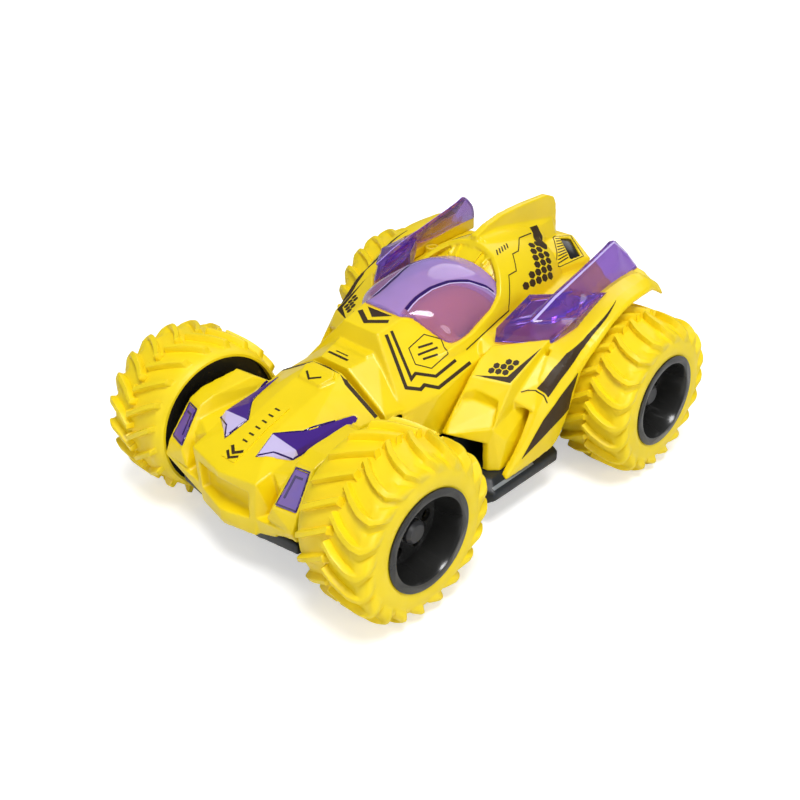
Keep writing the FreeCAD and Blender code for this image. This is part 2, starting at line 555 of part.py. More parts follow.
def make_nose():
    """The nose cowl with its two pods, the front recess and the seats of its four lamps."""
    snout = hull(both(SNOUT))
    hood = hull(both(HOOD))
    pod = hull(POD)
    shoulder = hull(SHOULDER)
    shelf = hull(SHELF)
    sides = [pod, shoulder, shelf]
    outer = join([snout, hood] + sides + [mirrored(part) for part in sides])
    boss = hull(both([(50.0, 5.2, 54.0), (48.8, 5.6, 57.4), (44.0, 7.4, 59.2), (41.2, 5.0, 59.7),
                      (41.2, 5.0, 54.0), (44.0, 8.0, 54.0)]))
    recess = hull(both([(92.5, 0.0, 37.3), (92.0, 13.8, 37.9), (92.0, 13.4, 26.0), (92.5, 0.0, 24.8),
                        (87.0, 0.0, 36.2), (85.6, 12.6, 36.6), (85.6, 12.2, 27.2), (87.0, 0.0, 26.2)]))
    side_room = [hollow_under(POD), hollow_under(SHOULDER), hollow_under(SHELF)]
    axle_gap = rod(AXLE_X, AXLE_Z, (-40.0, 40.0), AXLE_CLEARANCE).fuse(
        box((AXLE_X - AXLE_CLEARANCE, AXLE_X + AXLE_CLEARANCE), (-40.0, 40.0), (20.0, AXLE_Z)))
    snout_room = hollow_under(both(SNOUT)).common(box((50.0, 83.8), (-30.0, 30.0), (0.0, 60.0)))
    hollows = [snout_room, hollow_under(both(HOOD)), axle_gap,
               box((44.0, 79.0), (-27.0, 27.0), (10.0, 42.0))]
    hollows += side_room + [mirrored(room) for room in side_room]
    posts = [post(x, y, (RIM_LINE, 47.0), SCREW_BOSS_R) for x, y in NOSE_SCREWS]
    cowl = outer.cut(hollows).multiFuse([boss] + posts).cut([recess] + screw_holes(NOSE_SCREWS))
    headlamp = join([lens(LAMP_HEAD, 2.4), lens(LAMP_ARM, 2.4)])
    lamp = face_plate(SIDE_LAMP, 0.2, 1.2)
    keep_pair("headlamp_lens", headlamp)
    keep_pair("side_lamp", lamp)
    lamps = [headlamp, lamp, mirrored(headlamp), mirrored(lamp)]
    keep("nose_cowl", largest(cowl.cut(lamps + [NODES["chassis_tray"]])))


WEDGE = [(23.8, 8.5, 68.5), (12.3, 9.6, 70.9), (0.4, 23.0, 60.5), (-2.9, 30.1, 54.1), (14.4, 30.1, 48.7),
         (19.2, 28.3, 49.2), (30.7, 27.0, 46.1), (25.4, 9.9, 61.0), (31.0, 28.0, RIM_LINE),
         (-30.0, 30.1, 54.0), (-30.0, 22.6, 61.0), (-30.0, 30.1, RIM_LINE)]
PLATE = [(36.9, 6.8, 59.4), (25.0, 9.9, 61.4), (37.2, 12.5, 54.8), (37.4, 25.0, 48.0), (37.6, 27.4, 41.0),
         (37.6, 28.3, RIM_LINE), (14.0, 29.0, 47.0), (14.0, 29.0, RIM_LINE), (14.0, 10.0, 61.4)]
PLATE_STRIP = [(29.5, 8.2, 60.4), (29.0, 8.2, 61.6), (24.0, 9.6, 62.4), (24.0, 9.6, 60.4)]
DECK = [(-8.0, 30.4, 56.0), (-12.0, 30.8, 57.6), (-30.0, 41.5, 57.0), (-62.0, 41.5, 62.6),
        (-84.0, 41.5, 63.4), (-87.5, 33.0, 60.0), (-88.5, 20.0, 62.0), (-60.0, 22.0, 62.0),
        (-12.0, 26.0, 60.0), (-8.0, 30.4, RIM_LINE), (-28.0, 41.5, RIM_LINE), (-84.0, 41.5, RIM_LINE),
        (-88.0, 30.0, 40.0), (-87.0, 30.0, RIM_LINE)]
VENT = [(-86.0, 3.0, 72.3), (-91.5, 8.7, 71.6), (-85.8, 22.0, 66.8), (-69.1, 17.0, 65.4),
        (-66.0, 4.0, 72.0), (-66.0, 18.0, 58.0), (-86.0, 22.0, 58.0), (-90.0, 8.0, 56.0)]
VENT_WINDOW = [(-85.3, 6.4, 71.6), (-89.3, 9.2, 71.1), (-83.2, 18.8, 67.7), (-78.2, 17.4, 67.3)]
TAIL_RECESS = [(-92.0, 24.0, 58.0), (-92.0, 28.0, 45.0), (-92.0, 23.0, 39.0), (-87.4, 22.6, 56.6),
               (-87.1, 26.4, 45.2), (-87.0, 21.8, 40.2)]
GRILLE_X = (-88.4, -86.6)
GRILLE_HALF = 19.0
GRILLE_BAR = 1.2
GRILLE_Z = (43.6, 47.2, 50.8, 54.4)
FIN_SIDE = [(-33.0, 83.0), (-44.0, 87.3), (-53.5, 89.3), (-66.0, 90.0), (-81.5, 89.9), (-86.5, 88.0),
            (-88.4, 84.7), (-89.6, 72.0)]
ROOF = [(9.0, 23.4, 53.5, 71.0), (2.0, 26.0, 55.0, 74.0), (-15.0, 26.0, 56.0, 80.0),
        (-31.0, 25.2, 57.0, 82.6), (-47.0, 24.4, 57.5, 82.2), (-60.0, 22.6, 57.5, 80.2),
        (-71.0, 19.5, 57.5, 77.0)]
CANOPY = [(12.6, 9.4, 70.6, 72.9), (6.0, 16.4, 65.6, 74.8), (0.4, 23.2, 60.4, 76.5),
          (-12.0, 23.7, 60.3, 79.2), (-22.0, 23.4, 60.3, 79.4), (-32.0, 22.8, 60.3, 77.2)]
SEAT_DOME = [(4.0, 14.0, 60.0, 70.4), (-4.0, 19.0, 60.0, 73.0), (-16.0, 19.6, 60.0, 75.4),
             (-24.0, 19.6, 60.0, 75.4), (-36.0, 19.4, 60.0, 73.6)]
BAND = [(-32.3, 22.4, 59.0, 76.9), (-38.6, 24.1, 58.0, 82.0)]
BAND_THICK = 4.0
SPINE = [(-39.5, 7.0, 78.0, 84.2), (-52.0, 8.6, 76.0, 84.2), (-66.0, 8.0, 73.0, 81.6),
         (-76.0, 6.4, 70.0, 78.4)]
RIB_ANGLES = (-68, -45, -21, 21, 45, 68)
RIB_THICK = 1.2
RIB_REACH = (-1.5, 1.6)       # a rib's foot inside the band, and its top above it
RIB_ENDS = [(-32.6, 22.4, 76.9), (-37.8, 22.8, 80.0)]
RIB_CENTRE_Z = 58.0
FIN_BOSS = (-56.2, 38.9)      # a screw boss on the deck, under each translucent fin
ARCH_SIDE = [(18.0, 56.0), (1.5, 60.8), (-7.7, 62.2), (-21.2, 66.0), (-27.6, 69.6), (-30.8, 73.5),
             (-35.6, 79.3), (-37.6, 83.0), (-37.9, 92.0), (18.0, 92.0)]


def room_in(stations, wall, front, rear):
    """The space inside a dome: its first and last sections are moved forward by front and rear."""
    inner = [[x, half - wall, base - 1.0, crown - wall] for x, half, base, crown in stations]
    inner[0][0] += front
    inner[-1][0] += rear
    return dome(inner)


def make_fin_ridge():
    """The roof's centre fin: thin at the top, with a broad foot on the dome."""
    blade = prism(FIN_SIDE + [(-88.0, 66.0), (-40.0, 70.0)], 1.5)
    foot = hull(both([(-36.0, 1.5, 83.0), (-50.0, 1.6, 85.0), (-86.0, 1.6, 79.0), (-88.6, 2.2, 72.0),
                      (-86.0, 4.5, 71.0), (-60.0, 6.0, 79.0), (-40.0, 4.5, 81.0), (-60.0, 6.0, 70.0),
                      (-86.0, 4.5, 66.0)]))
    return join([blade, foot])


def arch_ribs():
    """Ribs across the sloping band between the canopy and the roof's front edge."""
    ribs = []
    for angle in RIB_ANGLES:
        turn = math.radians(angle)
        across = Vector(0, math.cos(turn), -math.sin(turn)) * (RIB_THICK / 2)
        points = []
        for x, half, crown in RIB_ENDS:
            for lift in RIB_REACH:
                rise = crown - RIB_CENTRE_Z + lift
                middle = Vector(x, (half + lift) * math.sin(turn), RIB_CENTRE_Z + rise * math.cos(turn))
                points += [middle + across, middle - across]
        ribs.append(hull(points))
    return ribs


def make_cab():
    """The cab shell: front wedge, step plate, rear deck, roof with its fin, and the vent housings."""
    wedge = hull(both(WEDGE))
    blocks = [wedge, hull(both(PLATE)), hull(both(PLATE_STRIP)), hull(both(DECK)), hull(both(VENT))]
    arch = prism(ARCH_SIDE, 40.0)
    roof_room = room_in(ROOF, WALL, 1.0, WALL)
    deck_room = room_in(ROOF[1:], WALL + 0.6, -6.0, WALL + 0.6)
    roof = dome(ROOF).cut([roof_room, arch])
    seat = dome(SEAT_DOME).cut(room_in(SEAT_DOME, WALL, -WALL, WALL))
    band = dome(BAND).cut(room_in(BAND, BAND_THICK, 1.0, -1.0))
    rooms = [hollow_under(both(points)) for points in (WEDGE, PLATE, DECK, VENT)]
    rooms += [deck_room, box((-85.0, 34.0), (-27.0, 27.0), (0.0, 46.0)),
              box((-84.0, -31.5), (-39.5, 39.5), (0.0, 46.0)),
              rod(-AXLE_X, AXLE_Z, (-50.0, 50.0), 5.0)]
    lower = join(blocks + [make_fin_ridge()]).cut([arch.cut(wedge), hull(both(TAIL_RECESS))] + rooms)
    posts = [post(x, y, (RIM_LINE, 57.5), 3.2) for x, y in CAB_SCREWS]
    boss_x, boss_y = FIN_BOSS
    posts += [post(boss_x, y, (58.5, 64.6), 3.0) for y in (boss_y, -boss_y)]
    pits = [post(boss_x, y, (62.0, 66.0), 1.7) for y in (boss_y, -boss_y)]
    grille = [box(GRILLE_X, (-GRILLE_HALF, GRILLE_HALF), (z, z + GRILLE_BAR)) for z in GRILLE_Z]
    lower = lower.multiFuse(posts + grille).cut(screw_holes(CAB_SCREWS) + pits)
    spine = dome(SPINE).cut(roof_room)
    shell = lower.multiFuse([roof, seat, band, spine] + arch_ribs())
    recess = face_plate(VENT_WINDOW, 1.0, 1.0)
    shell = shell.cut([recess, mirrored(recess)])
    window = face_plate(VENT_WINDOW, -0.5, 1.5)
    windows = [window, mirrored(window)]
    keep("vent_windows", Part.makeCompound(windows))
    shell = largest(shell.cut(windows + [NODES["chassis_tray"]]))
    canopy = dome(CANOPY).cut([room_in(CANOPY, CANOPY_WALL, -CANOPY_WALL, -1.0), shell])
    keep("canopy", largest(canopy))
    keep("cab_shell", shell)


PONTOON = [(-12.0, 31.0, 58.0), (-6.5, 30.7, 55.5), (1.2, 32.3, 51.3), (-5.6, 46.0, 50.1),
           (-27.1, 46.0, 60.0), (4.9, 46.5, 36.1), (16.0, 34.0, 34.3), (15.0, 31.0, 33.0),
           (6.5, 45.5, 30.7), (8.0, 31.0, RIM_LINE), (-28.5, 46.0, 48.0), (-28.5, 42.5, RIM_LINE),
           (-28.5, 42.5, 57.0), (-12.0, 31.0, RIM_LINE)]
SILL = [(6.5, 43.0, 31.0), (6.5, 45.6, 31.0), (5.0, 46.6, 36.0), (7.2, 44.0, 19.4), (7.0, 46.2, 19.4),
        (3.8, 49.4, 19.2), (1.0, 49.4, 31.0), (-24.0, 49.6, 20.0), (-24.0, 43.0, 20.0),
        (-27.0, 46.5, 45.0), (-27.0, 42.5, 45.0)]
FENDER = [(4.5, [(50.4, 17.2), (52.8, 17.2), (53.0, 17.7), (52.8, 18.3), (51.8, 18.8), (50.4, 18.8)]),
          (-5.0, [(51.0, 18.4), (54.0, 18.6), (54.6, 23.0), (54.6, 27.0), (53.4, 30.2), (51.2, 30.5)]),
          (-14.0, [(51.4, 20.0), (55.3, 20.6), (56.4, 32.0), (56.2, 39.0), (53.8, 44.4), (50.2, 46.0)]),
          (-22.0, [(50.8, 23.0), (55.7, 23.2), (57.4, 37.0), (57.5, 44.0), (54.4, 51.2), (48.2, 53.8)]),
          (-27.0, [(49.5, 36.0), (56.8, 35.6), (57.8, 44.4), (57.8, 48.6), (54.6, 55.0), (46.8, 56.8)]),
          (-31.0, [(48.0, 50.2), (57.8, 49.0), (58.0, 50.6), (57.4, 53.0), (53.8, 57.4), (46.4, 58.6)]),
          (-39.0, [(46.5, 56.6), (58.2, 55.6), (58.4, 56.8), (57.8, 58.2), (53.4, 60.3), (46.4, 61.0)]),
          (-48.0, [(46.5, 62.0), (58.2, 61.6), (58.4, 62.6), (57.6, 63.8), (53.2, 64.9), (46.4, 65.0)]),
          (-59.0, [(46.5, 65.8), (58.0, 65.6), (58.2, 66.6), (57.4, 67.6), (53.0, 68.4), (46.6, 68.4)]),
          (-70.0, [(46.6, 67.6), (57.8, 66.4), (58.0, 67.4), (57.2, 68.4), (53.2, 69.7), (47.0, 70.2)]),
          (-77.0, [(48.4, 68.4), (56.9, 65.6), (57.1, 66.6), (56.4, 68.0), (53.8, 70.0), (49.8, 71.2)]),
          (-84.0, [(51.5, 64.5), (57.0, 61.6), (57.3, 62.5), (56.8, 63.6), (54.8, 65.8), (52.0, 66.6)])]
BRIDGE = [(-6.0, 45.4, 44.0), (-7.0, 45.4, 36.0), (-10.0, 52.4, 40.2), (-11.0, 52.6, 36.0),
          (-17.3, 45.4, 49.2), (-16.5, 50.5, 48.2), (-24.0, 45.4, 56.0), (-23.5, 48.2, 54.6),
          (-26.0, 45.4, 48.0), (-26.0, 50.5, 48.0)]
GUSSET = [(-26.5, 44.5, 58.8), (-26.5, 44.5, 50.0), (-26.5, 48.2, 55.0), (-31.5, 44.5, 57.8),
          (-31.5, 44.5, 53.5), (-31.5, 47.4, 57.6)]
SCOOP = (48.9, 37.2, 3.2)     # the rounded head of the gap under the bridge: y, z and radius
NOTCH = [(-0.4, 44.4, 45.2), (2.6, 35.8, 48.3), (6.0, 32.6, 48.5), (-1.0, 43.6, 41.4), (2.6, 35.6, 43.6),
         (5.4, 32.6, 43.4), (4.4, 46.2, 36.4), (13.6, 36.6, 34.4), (16.2, 32.6, 34.6), (9.0, 46.5, 47.0),
         (18.0, 36.0, 49.0), (18.0, 32.0, 49.0)]
FIN_TRAY = [(-14.2, 31.2, 64.3), (-24.0, 39.0, 66.4), (-37.0, 50.0, 66.4), (-57.0, 48.4, 69.0),
            (-34.0, 30.5, 70.6), (-42.5, 38.5, 70.4), (-13.6, 31.2, 58.9), (-27.5, 45.8, 57.6),
            (-39.0, 48.8, 61.2), (-59.0, 48.0, 68.4), (-44.0, 38.5, 62.0), (-34.0, 30.5, 60.0)]
FIN_POCKET = [(-20.0, 32.6, 64.8), (-33.0, 32.6, 68.8), (-38.5, 36.6, 69.0), (-26.5, 37.4, 65.8)]
FIN_SHEET = [(-24.0, (39.4, 66.6), (40.6, 65.9)), (-37.0, (39.3, 71.4), (48.6, 66.0)),
             (-50.0, (39.0, 74.8), (45.8, 66.0)), (-62.0, (38.7, 77.8), (44.0, 66.2)),
             (-71.0, (38.4, 80.3), (43.8, 66.9)), (-75.5, (38.4, 81.7), (43.7, 67.2)),
             (-79.0, (38.8, 79.0), (43.6, 67.5)), (-83.0, (40.2, 75.0), (43.6, 67.7)),
             (-86.8, (42.7, 69.2), (43.5, 67.9))]
# The wall and ledge each fin stands on: x, the wall's foot and top, and the ledge's outer edge (y, z).
FIN_WALL = [(-45.0, 59.6, 62.8, (47.0, 63.8)), (-57.0, 61.0, 65.0, (47.0, 67.6)),
            (-68.0, 61.8, 66.6, (47.4, 69.6)), (-78.0, 62.4, 67.6, (50.0, 69.8)),
            (-84.0, 62.6, 68.1, (52.0, 66.6)), (-87.6, 63.0, 68.4, (46.0, 67.4))]
FIN_WALL_Y = (41.8, 43.0)
LEDGE_THICK = 1.4
SHEET_THICK = (1.5, 0.5)      # the fin sheet's thickness towards the car's middle, and downwards


def fin_sheet():
    """The fin: a curved sheet that leans inwards from the fender's edge, highest near its back end."""
    rows = []
    for x, (top_y, top_z), (foot_y, foot_z) in FIN_SHEET:
        inward, down = SHEET_THICK
        rows.append((x, [(top_y, top_z), (foot_y, foot_z), (foot_y - inward, foot_z - down),
                         (top_y - inward, top_z - down)]))
    return smooth_strip(rows)


def eased(rows, parts=3):
    """More rows of numbers between the given ones, on smooth curves through them."""
    padded = [rows[0]] + rows + [rows[-1]]
    dense = []
    for before, low, high, after in zip(padded, padded[1:], padded[2:], padded[3:]):
        for step in range(parts):
            t = step / parts
            dense.append([0.5 * (2 * q + (r - p) * t + (2 * p - 5 * q + 4 * r - s) * t * t
                                 + (3 * q - p - 3 * r + s) * t ** 3)
                          for p, q, r, s in zip(before, low, high, after)])
    return dense + [rows[-1]]


def smooth_strip(stations):
    """A solid that runs smoothly through a row of sections with equal numbers of corners."""
    rows = [[x] + [number for corner in section for number in corner] for x, section in stations]
    return strip([(row[0], list(zip(row[1::2], row[2::2]))) for row in eased(rows)])


def fin_ledge():
    """The side panel's inner wall behind the pontoon, and the ledge from its top to the fender."""
    inner, outer = FIN_WALL_Y
    wall = strip([(x, [(inner, foot), (inner, top), (outer, top), (outer, foot)])
                  for x, foot, top, edge in FIN_WALL])
    ledge = strip([(x, [(inner, top), (y, z), (y, z - LEDGE_THICK), (inner, top - LEDGE_THICK)])
                   for x, foot, top, (y, z) in FIN_WALL])
    return wall.fuse(ledge)


def fin_tray():
    """The faceted foot of the fin, with a sunk pocket in its top."""
    pocket = hull(FIN_POCKET + [(x, y, z + 6.0) for x, y, z in FIN_POCKET])
    floor = hull([(x * 1.01, y, z) for x, y, z in FIN_POCKET] + [(x, y, z - 1.3) for x, y, z in FIN_POCKET])
    return hull(FIN_TRAY).cut([hollow_under(FIN_TRAY, 1.4), pocket]).fuse(floor)


def make_sides():
    """The side panels with their wheel arches, and the translucent fins standing on them."""
    outer = join([hull(PONTOON), hull(SILL)])
    panel = outer.cut(hollow_under(PONTOON)).cut(hollow_under(SILL))
    scoop_y, scoop_z, scoop_r = SCOOP
    scoop = Part.makeCylinder(scoop_r, 40.0, Vector(-40.0, scoop_y, scoop_z), Vector(1, 0, 0))
    slot = box((-40.0, 0.0), (scoop_y - scoop_r, scoop_y + scoop_r), (30.0, scoop_z))
    bridge = hull(BRIDGE).cut([scoop, slot])
    panel = panel.fuse(face_backing()).cut(hull(NOTCH))
    panel = panel.multiFuse([smooth_strip(FENDER), bridge, hull(GUSSET), fin_ledge()])
    panel = largest(panel.cut([NODES["chassis_tray"], NODES["cab_shell"]]))
    fin = largest(fin_tray().fuse(fin_sheet()).cut([NODES["cab_shell"], panel]))
    keep_pair("side_panel", panel)
    keep_pair("side_fin", fin)


def face_backing():
    """The thick front of the pontoon, behind its notch."""
    front = [(1.2, 32.3, 51.3), (-5.6, 46.0, 50.1), (4.9, 46.5, 36.1), (16.0, 34.0, 34.3)]
    inner = [(x - 6.5, y, z - 6.0) for x, y, z in front]
    return hull(front + inner).common(hull(PONTOON))


make_chassis()
make_wheels()
make_drive()
make_power()
make_nose()
make_cab()
make_sides()

for node, solid in NODES.items():
    if not solid.isValid() or solid.Volume <= 0 or not solid.Solids:
        print("suspect shape:", node, solid.Volume, len(solid.Solids))
    solid.exportStep("parts/" + node + ".step")
print(len(NODES), "nodes")
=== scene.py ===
"""Looks of the stunt car: moulded shells, translucent purple parts, soft tyres, printed trim and a studio.

Lengths are in millimetres and are turned into metres by MM, except in the studio, which is laid out in
metres. +X is forward, +Y the car's left, and the ground is at Z 0. Scales of noise are cells per metre.
"""

import math

import bmesh
import bpy
from mathutils import Matrix, Vector
from mathutils.bvhtree import BVHTree


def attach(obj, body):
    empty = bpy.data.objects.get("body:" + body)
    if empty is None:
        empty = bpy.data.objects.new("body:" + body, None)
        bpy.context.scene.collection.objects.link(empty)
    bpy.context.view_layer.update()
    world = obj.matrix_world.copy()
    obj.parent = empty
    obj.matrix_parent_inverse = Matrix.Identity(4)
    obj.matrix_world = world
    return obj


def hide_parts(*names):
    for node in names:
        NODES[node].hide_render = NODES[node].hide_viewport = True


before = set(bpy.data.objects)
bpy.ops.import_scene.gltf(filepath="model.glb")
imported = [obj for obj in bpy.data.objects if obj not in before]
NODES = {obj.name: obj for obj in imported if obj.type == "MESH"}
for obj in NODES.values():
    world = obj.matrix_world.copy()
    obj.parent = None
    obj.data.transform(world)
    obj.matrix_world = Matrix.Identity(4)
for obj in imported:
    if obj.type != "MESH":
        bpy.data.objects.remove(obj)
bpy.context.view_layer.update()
MM = 0.001

AXLE_X = 61.35            # the axles lie this far ahead of and behind the origin
AXLE_Z = 31.2
FRONT_RIM_Y = 68.5        # the outer faces of the rims
REAR_RIM_Y = 76.4


def srgb(*steps):
    """A colour given as red, green and blue from 0 to 255, as linear light."""
    return tuple((c / 255 / 12.92) if c < 11 else ((c / 255 + 0.055) / 1.055) ** 2.4 for c in steps)


def shade(colour, factor):
    return tuple(min(1.0, c * factor) for c in colour)


def add_object(name, data):
    made = bpy.data.objects.new(name, data)
    bpy.context.scene.collection.objects.link(made)
    return made


def both(*stems):
    """The names of nodes that come as a left and a right one."""
    return [stem + side for stem in stems for side in ("_left", "_right")]


YELLOW = srgb(249, 219, 10)
TYRE_YELLOW = srgb(250, 221, 18)
NAVY = srgb(24, 30, 36)
INK = srgb(58, 42, 22)
# The canopy's raised middle is a lighter lavender, a painted reflection of the sky; its side windows are
# mauve.
CANOPY_SHEEN_PURPLE = srgb(190, 166, 226)
CANOPY_SIDE = srgb(192, 146, 190)
FIN_PURPLE = srgb(164, 122, 216)
LAMP_PURPLE = srgb(84, 44, 160)
PALE_PURPLE = srgb(214, 202, 244)

# A noise's middle values, between which a colour or a gloss runs from low to high.
NOISE_LOW = 0.35
NOISE_HIGH = 0.65
CLEAR_IOR = 1.49          # of clear styrene or acrylic
HEAD_X = 71.5             # where a headlamp's pale head begins and its dark arm ends
CREASE_X = 3.0            # the canopy's raised middle is narrowest here,
CREASE_Y = 7.0            # has this half width there,
CREASE_BEND = 0.0175      # and widens with the square of the distance
CREASE_BLUR = 0.4


# --- materials -------------------------------------------------------------------------------

class Surface:
    """A Principled material with small helpers for its node tree."""

    def __init__(self, name, **values):
        self.material = bpy.data.materials.new(name)
        self.material.use_nodes = True
        self.tree = self.material.node_tree
        self.shader = self.tree.nodes["Principled BSDF"]
        for socket, value in values.items():
            self.shader.inputs[socket.replace("_", " ")].default_value = value
        coordinates = self.tree.nodes.new("ShaderNodeTexCoord")
        self.place = coordinates.outputs["Object"]

    def node(self, kind, inputs=(), **settings):
        made = self.tree.nodes.new(kind)
        for key, value in settings.items():
            setattr(made, key, value)
        for key, value in dict(inputs).items():
            if isinstance(value, bpy.types.NodeSocket):
                self.tree.links.new(value, made.inputs[key])
            else:
                made.inputs[key].default_value = value
        return made

    def noise(self, scale, detail, place=None):
        place = self.place if place is None else place
        made = self.node("ShaderNodeTexNoise", {"Vector": place, "Scale": scale, "Detail": detail})
        return made.outputs["Fac"]

    def spread(self, factor, low, high, start=NOISE_LOW, end=NOISE_HIGH):
        """A value that runs from low to high as the factor runs from start to end."""
        made = self.node("ShaderNodeMapRange", {"Value": factor, "From Min": start, "From Max": end,
                                                "To Min": low, "To Max": high})
        return made.outputs["Result"]

    def blend(self, factor, first, second):
        """A colour that goes from the first, a socket or a plain colour, to the second, a plain colour."""
        if not isinstance(first, bpy.types.NodeSocket):
            first = (*first, 1.0)
        made = self.node("ShaderNodeMix", {0: factor, 6: first, 7: (*second, 1.0)}, data_type="RGBA")
        return made.outputs[2]

    def mottle(self, factor, colour, low, high):
        """A colour that a noise varies between a darker and a lighter shade of it."""
        return self.blend(self.spread(factor, 0.0, 1.0), shade(colour, low), shade(colour, high))

    def axes(self):
        return self.node("ShaderNodeSeparateXYZ", {"Vector": self.place}).outputs

    def link(self, value, socket):
        self.tree.links.new(value, self.shader.inputs[socket])

    def bump(self, height, strength, depth):
        made = self.node("ShaderNodeBump", {"Height": height, "Strength": strength, "Distance": depth * MM})
        self.link(made.outputs["Normal"], "Normal")


def moulded(name, colour, roughness, spread, grain=1500.0, depth=0.03, **values):
    """Moulded plastic: slightly uneven colour and gloss, and a fine grain."""
    surface = Surface(name, **values)
    surface.link(surface.mottle(surface.noise(55.0, 3.0), colour, 1 - spread, 1 + spread), "Base Color")
    surface.link(surface.spread(surface.noise(160.0, 4.0), roughness * 0.85, roughness * 1.2), "Roughness")
    surface.bump(surface.noise(grain, 3.0), 0.35, depth)
    return surface.material


def clear_plastic(name, colour, roughness, clarity, other=None, other_clarity=None, where=None):
    """Tinted translucent plastic that lets the lamps through, with faint flow marks.

    With another colour it has a second tone, where the given function of the surface is 1.
    """
    surface = Surface(name, IOR=CLEAR_IOR, Transmission_Weight=clarity)
    tint = surface.mottle(surface.noise(40.0, 2.0), colour, 0.93, 1.05)
    if where:
        second = where(surface)
        tint = surface.blend(second, tint, other)
        surface.link(surface.spread(second, clarity, other_clarity, 0.0, 1.0), "Transmission Weight")
    surface.link(tint, "Base Color")
    surface.link(surface.spread(surface.noise(120.0, 3.0), roughness * 0.6, roughness * 1.5), "Roughness")
    surface.bump(surface.noise(260.0, 2.0), 0.12, 0.05)
    veil = surface.node("ShaderNodeBsdfTransparent", {"Color": (*shade(colour, 1.25), 1.0)})
    path = surface.node("ShaderNodeLightPath")
    mix = surface.node("ShaderNodeMixShader", {0: path.outputs["Is Shadow Ray"],
                                               1: surface.shader.outputs[0], 2: veil.outputs[0]})
    output = surface.tree.nodes["Material Output"]
    surface.tree.links.new(mix.outputs[0], output.inputs["Surface"])
    return surface.material


def lamp_head(surface):
    """1 on a headlamp's head, and 0 on its long arm."""
    return surface.spread(surface.axes()["X"], 0.0, 1.0, (HEAD_X - 0.1) * MM, (HEAD_X + 0.1) * MM)


def canopy_sides(surface):
    """1 on the canopy's side windows, which begin where it falls away from its raised middle. The middle, at
    0, keeps a lighter, less clear lavender that is a painted reflection of the sky.
    """
    def result(operation, first, second=0.0):
        return surface.node("ShaderNodeMath", {0: first, 1: second}, operation=operation).outputs[0]

    back = result("SUBTRACT", surface.axes()["X"], CREASE_X * MM)
    line = result("MULTIPLY", result("MULTIPLY", back, back), CREASE_BEND / MM)
    past = result("SUBTRACT", result("ABSOLUTE", surface.axes()["Y"]), line)
    return surface.spread(past, 0.0, 1.0, (CREASE_Y - CREASE_BLUR) * MM, (CREASE_Y + CREASE_BLUR) * MM)


def metal(name, colour, roughness, brushed=(1.0, 1.0, 1.0)):
    """Metal with fine marks, drawn out along the axis whose scale is small."""
    surface = Surface(name, Metallic=1.0)
    stretched = surface.node("ShaderNodeMapping", {"Vector": surface.place, "Scale": brushed})
    marks = surface.noise(900.0, 3.0, stretched.outputs["Vector"])
    surface.link(surface.mottle(marks, colour, 0.85, 1.08), "Base Color")
    surface.link(surface.spread(marks, roughness * 0.7, roughness * 1.3), "Roughness")
    surface.bump(marks, 0.2, 0.02)
    return surface.material


MATERIALS = {
    "shell": moulded("shell_yellow", YELLOW, 0.34, 0.03, Specular_IOR_Level=0.5),
    "tyre": moulded("tyre_yellow", TYRE_YELLOW, 0.46, 0.035, 900.0, 0.05, Specular_IOR_Level=0.45),
    "rim": moulded("rim_black", srgb(38, 38, 37), 0.20, 0.10, 1200.0),
    "hub": moulded("hub_grey", srgb(52, 52, 54), 0.38, 0.08, 1200.0),
    "chassis": moulded("chassis_black", NAVY, 0.42, 0.10, 1100.0, 0.04),
    "ink": moulded("print_dark", INK, 0.5, 0.10, 2200.0, 0.01, Specular_IOR_Level=0.3),
    "vent": moulded("vent_black", srgb(24, 22, 20), 0.22, 0.10, 1800.0),
    # The lighter, less clear middle of the canopy is a painted reflection of the sky; the mauve sides are
    # where canopy_sides is 1.
    "canopy": clear_plastic("canopy_purple", CANOPY_SHEEN_PURPLE, 0.04, 0.5, CANOPY_SIDE, 0.68, canopy_sides),
    "fin": clear_plastic("fin_purple", FIN_PURPLE, 0.05, 0.86),
    "lamp": clear_plastic("lamp_purple", LAMP_PURPLE, 0.07, 0.3, PALE_PURPLE, 0.06, lamp_head),
    "side_lamp": clear_plastic("side_lamp_purple", srgb(124, 92, 196), 0.07, 0.3),
    # Dark purple lines: the joints round the lamps, and painted shade along the canopy's crease.
    "crease": clear_plastic("shade_and_joint_purple", srgb(48, 22, 98), 0.08, 0.1),
    # Pale painted highlights on the canopy's crease and along the fins' edges.
    "glint": clear_plastic("glint_pale", srgb(216, 204, 244), 0.08, 0.2),
    # Light grey for the pale line along the side steps, a painted highlight on the dark chassis.
    "grey": moulded("step_highlight_grey", srgb(132, 138, 142), 0.36, 0.06, 1400.0),
    "steel": metal("steel", (0.60, 0.60, 0.62), 0.28, (1.0, 0.02, 1.0)),
    "screw": metal("screw_steel", (0.50, 0.50, 0.52), 0.36),
    "motor": metal("motor_can", (0.58, 0.58, 0.60), 0.30, (1.0, 0.05, 1.0)),
    "contact": metal("contact_nickel", (0.75, 0.74, 0.70), 0.24),
    "bronze": metal("bronze", (0.62, 0.40, 0.18), 0.38),
    "gear": moulded("gear_white", srgb(232, 229, 220), 0.42, 0.03, 1600.0),
    "gearbox": moulded("gearbox_grey", srgb(74, 75, 78), 0.48, 0.08, 1000.0),
    "cell": moulded("cell_sleeve", srgb(48, 104, 158), 0.26, 0.08, 1800.0),
    "board": moulded("board_green", srgb(20, 96, 52), 0.30, 0.12, 2600.0),
    "component": moulded("component_black", srgb(34, 34, 36), 0.50, 0.12, 2000.0),
    "switch": moulded("switch_black", srgb(28, 28, 29), 0.40, 0.10, 1500.0),
}

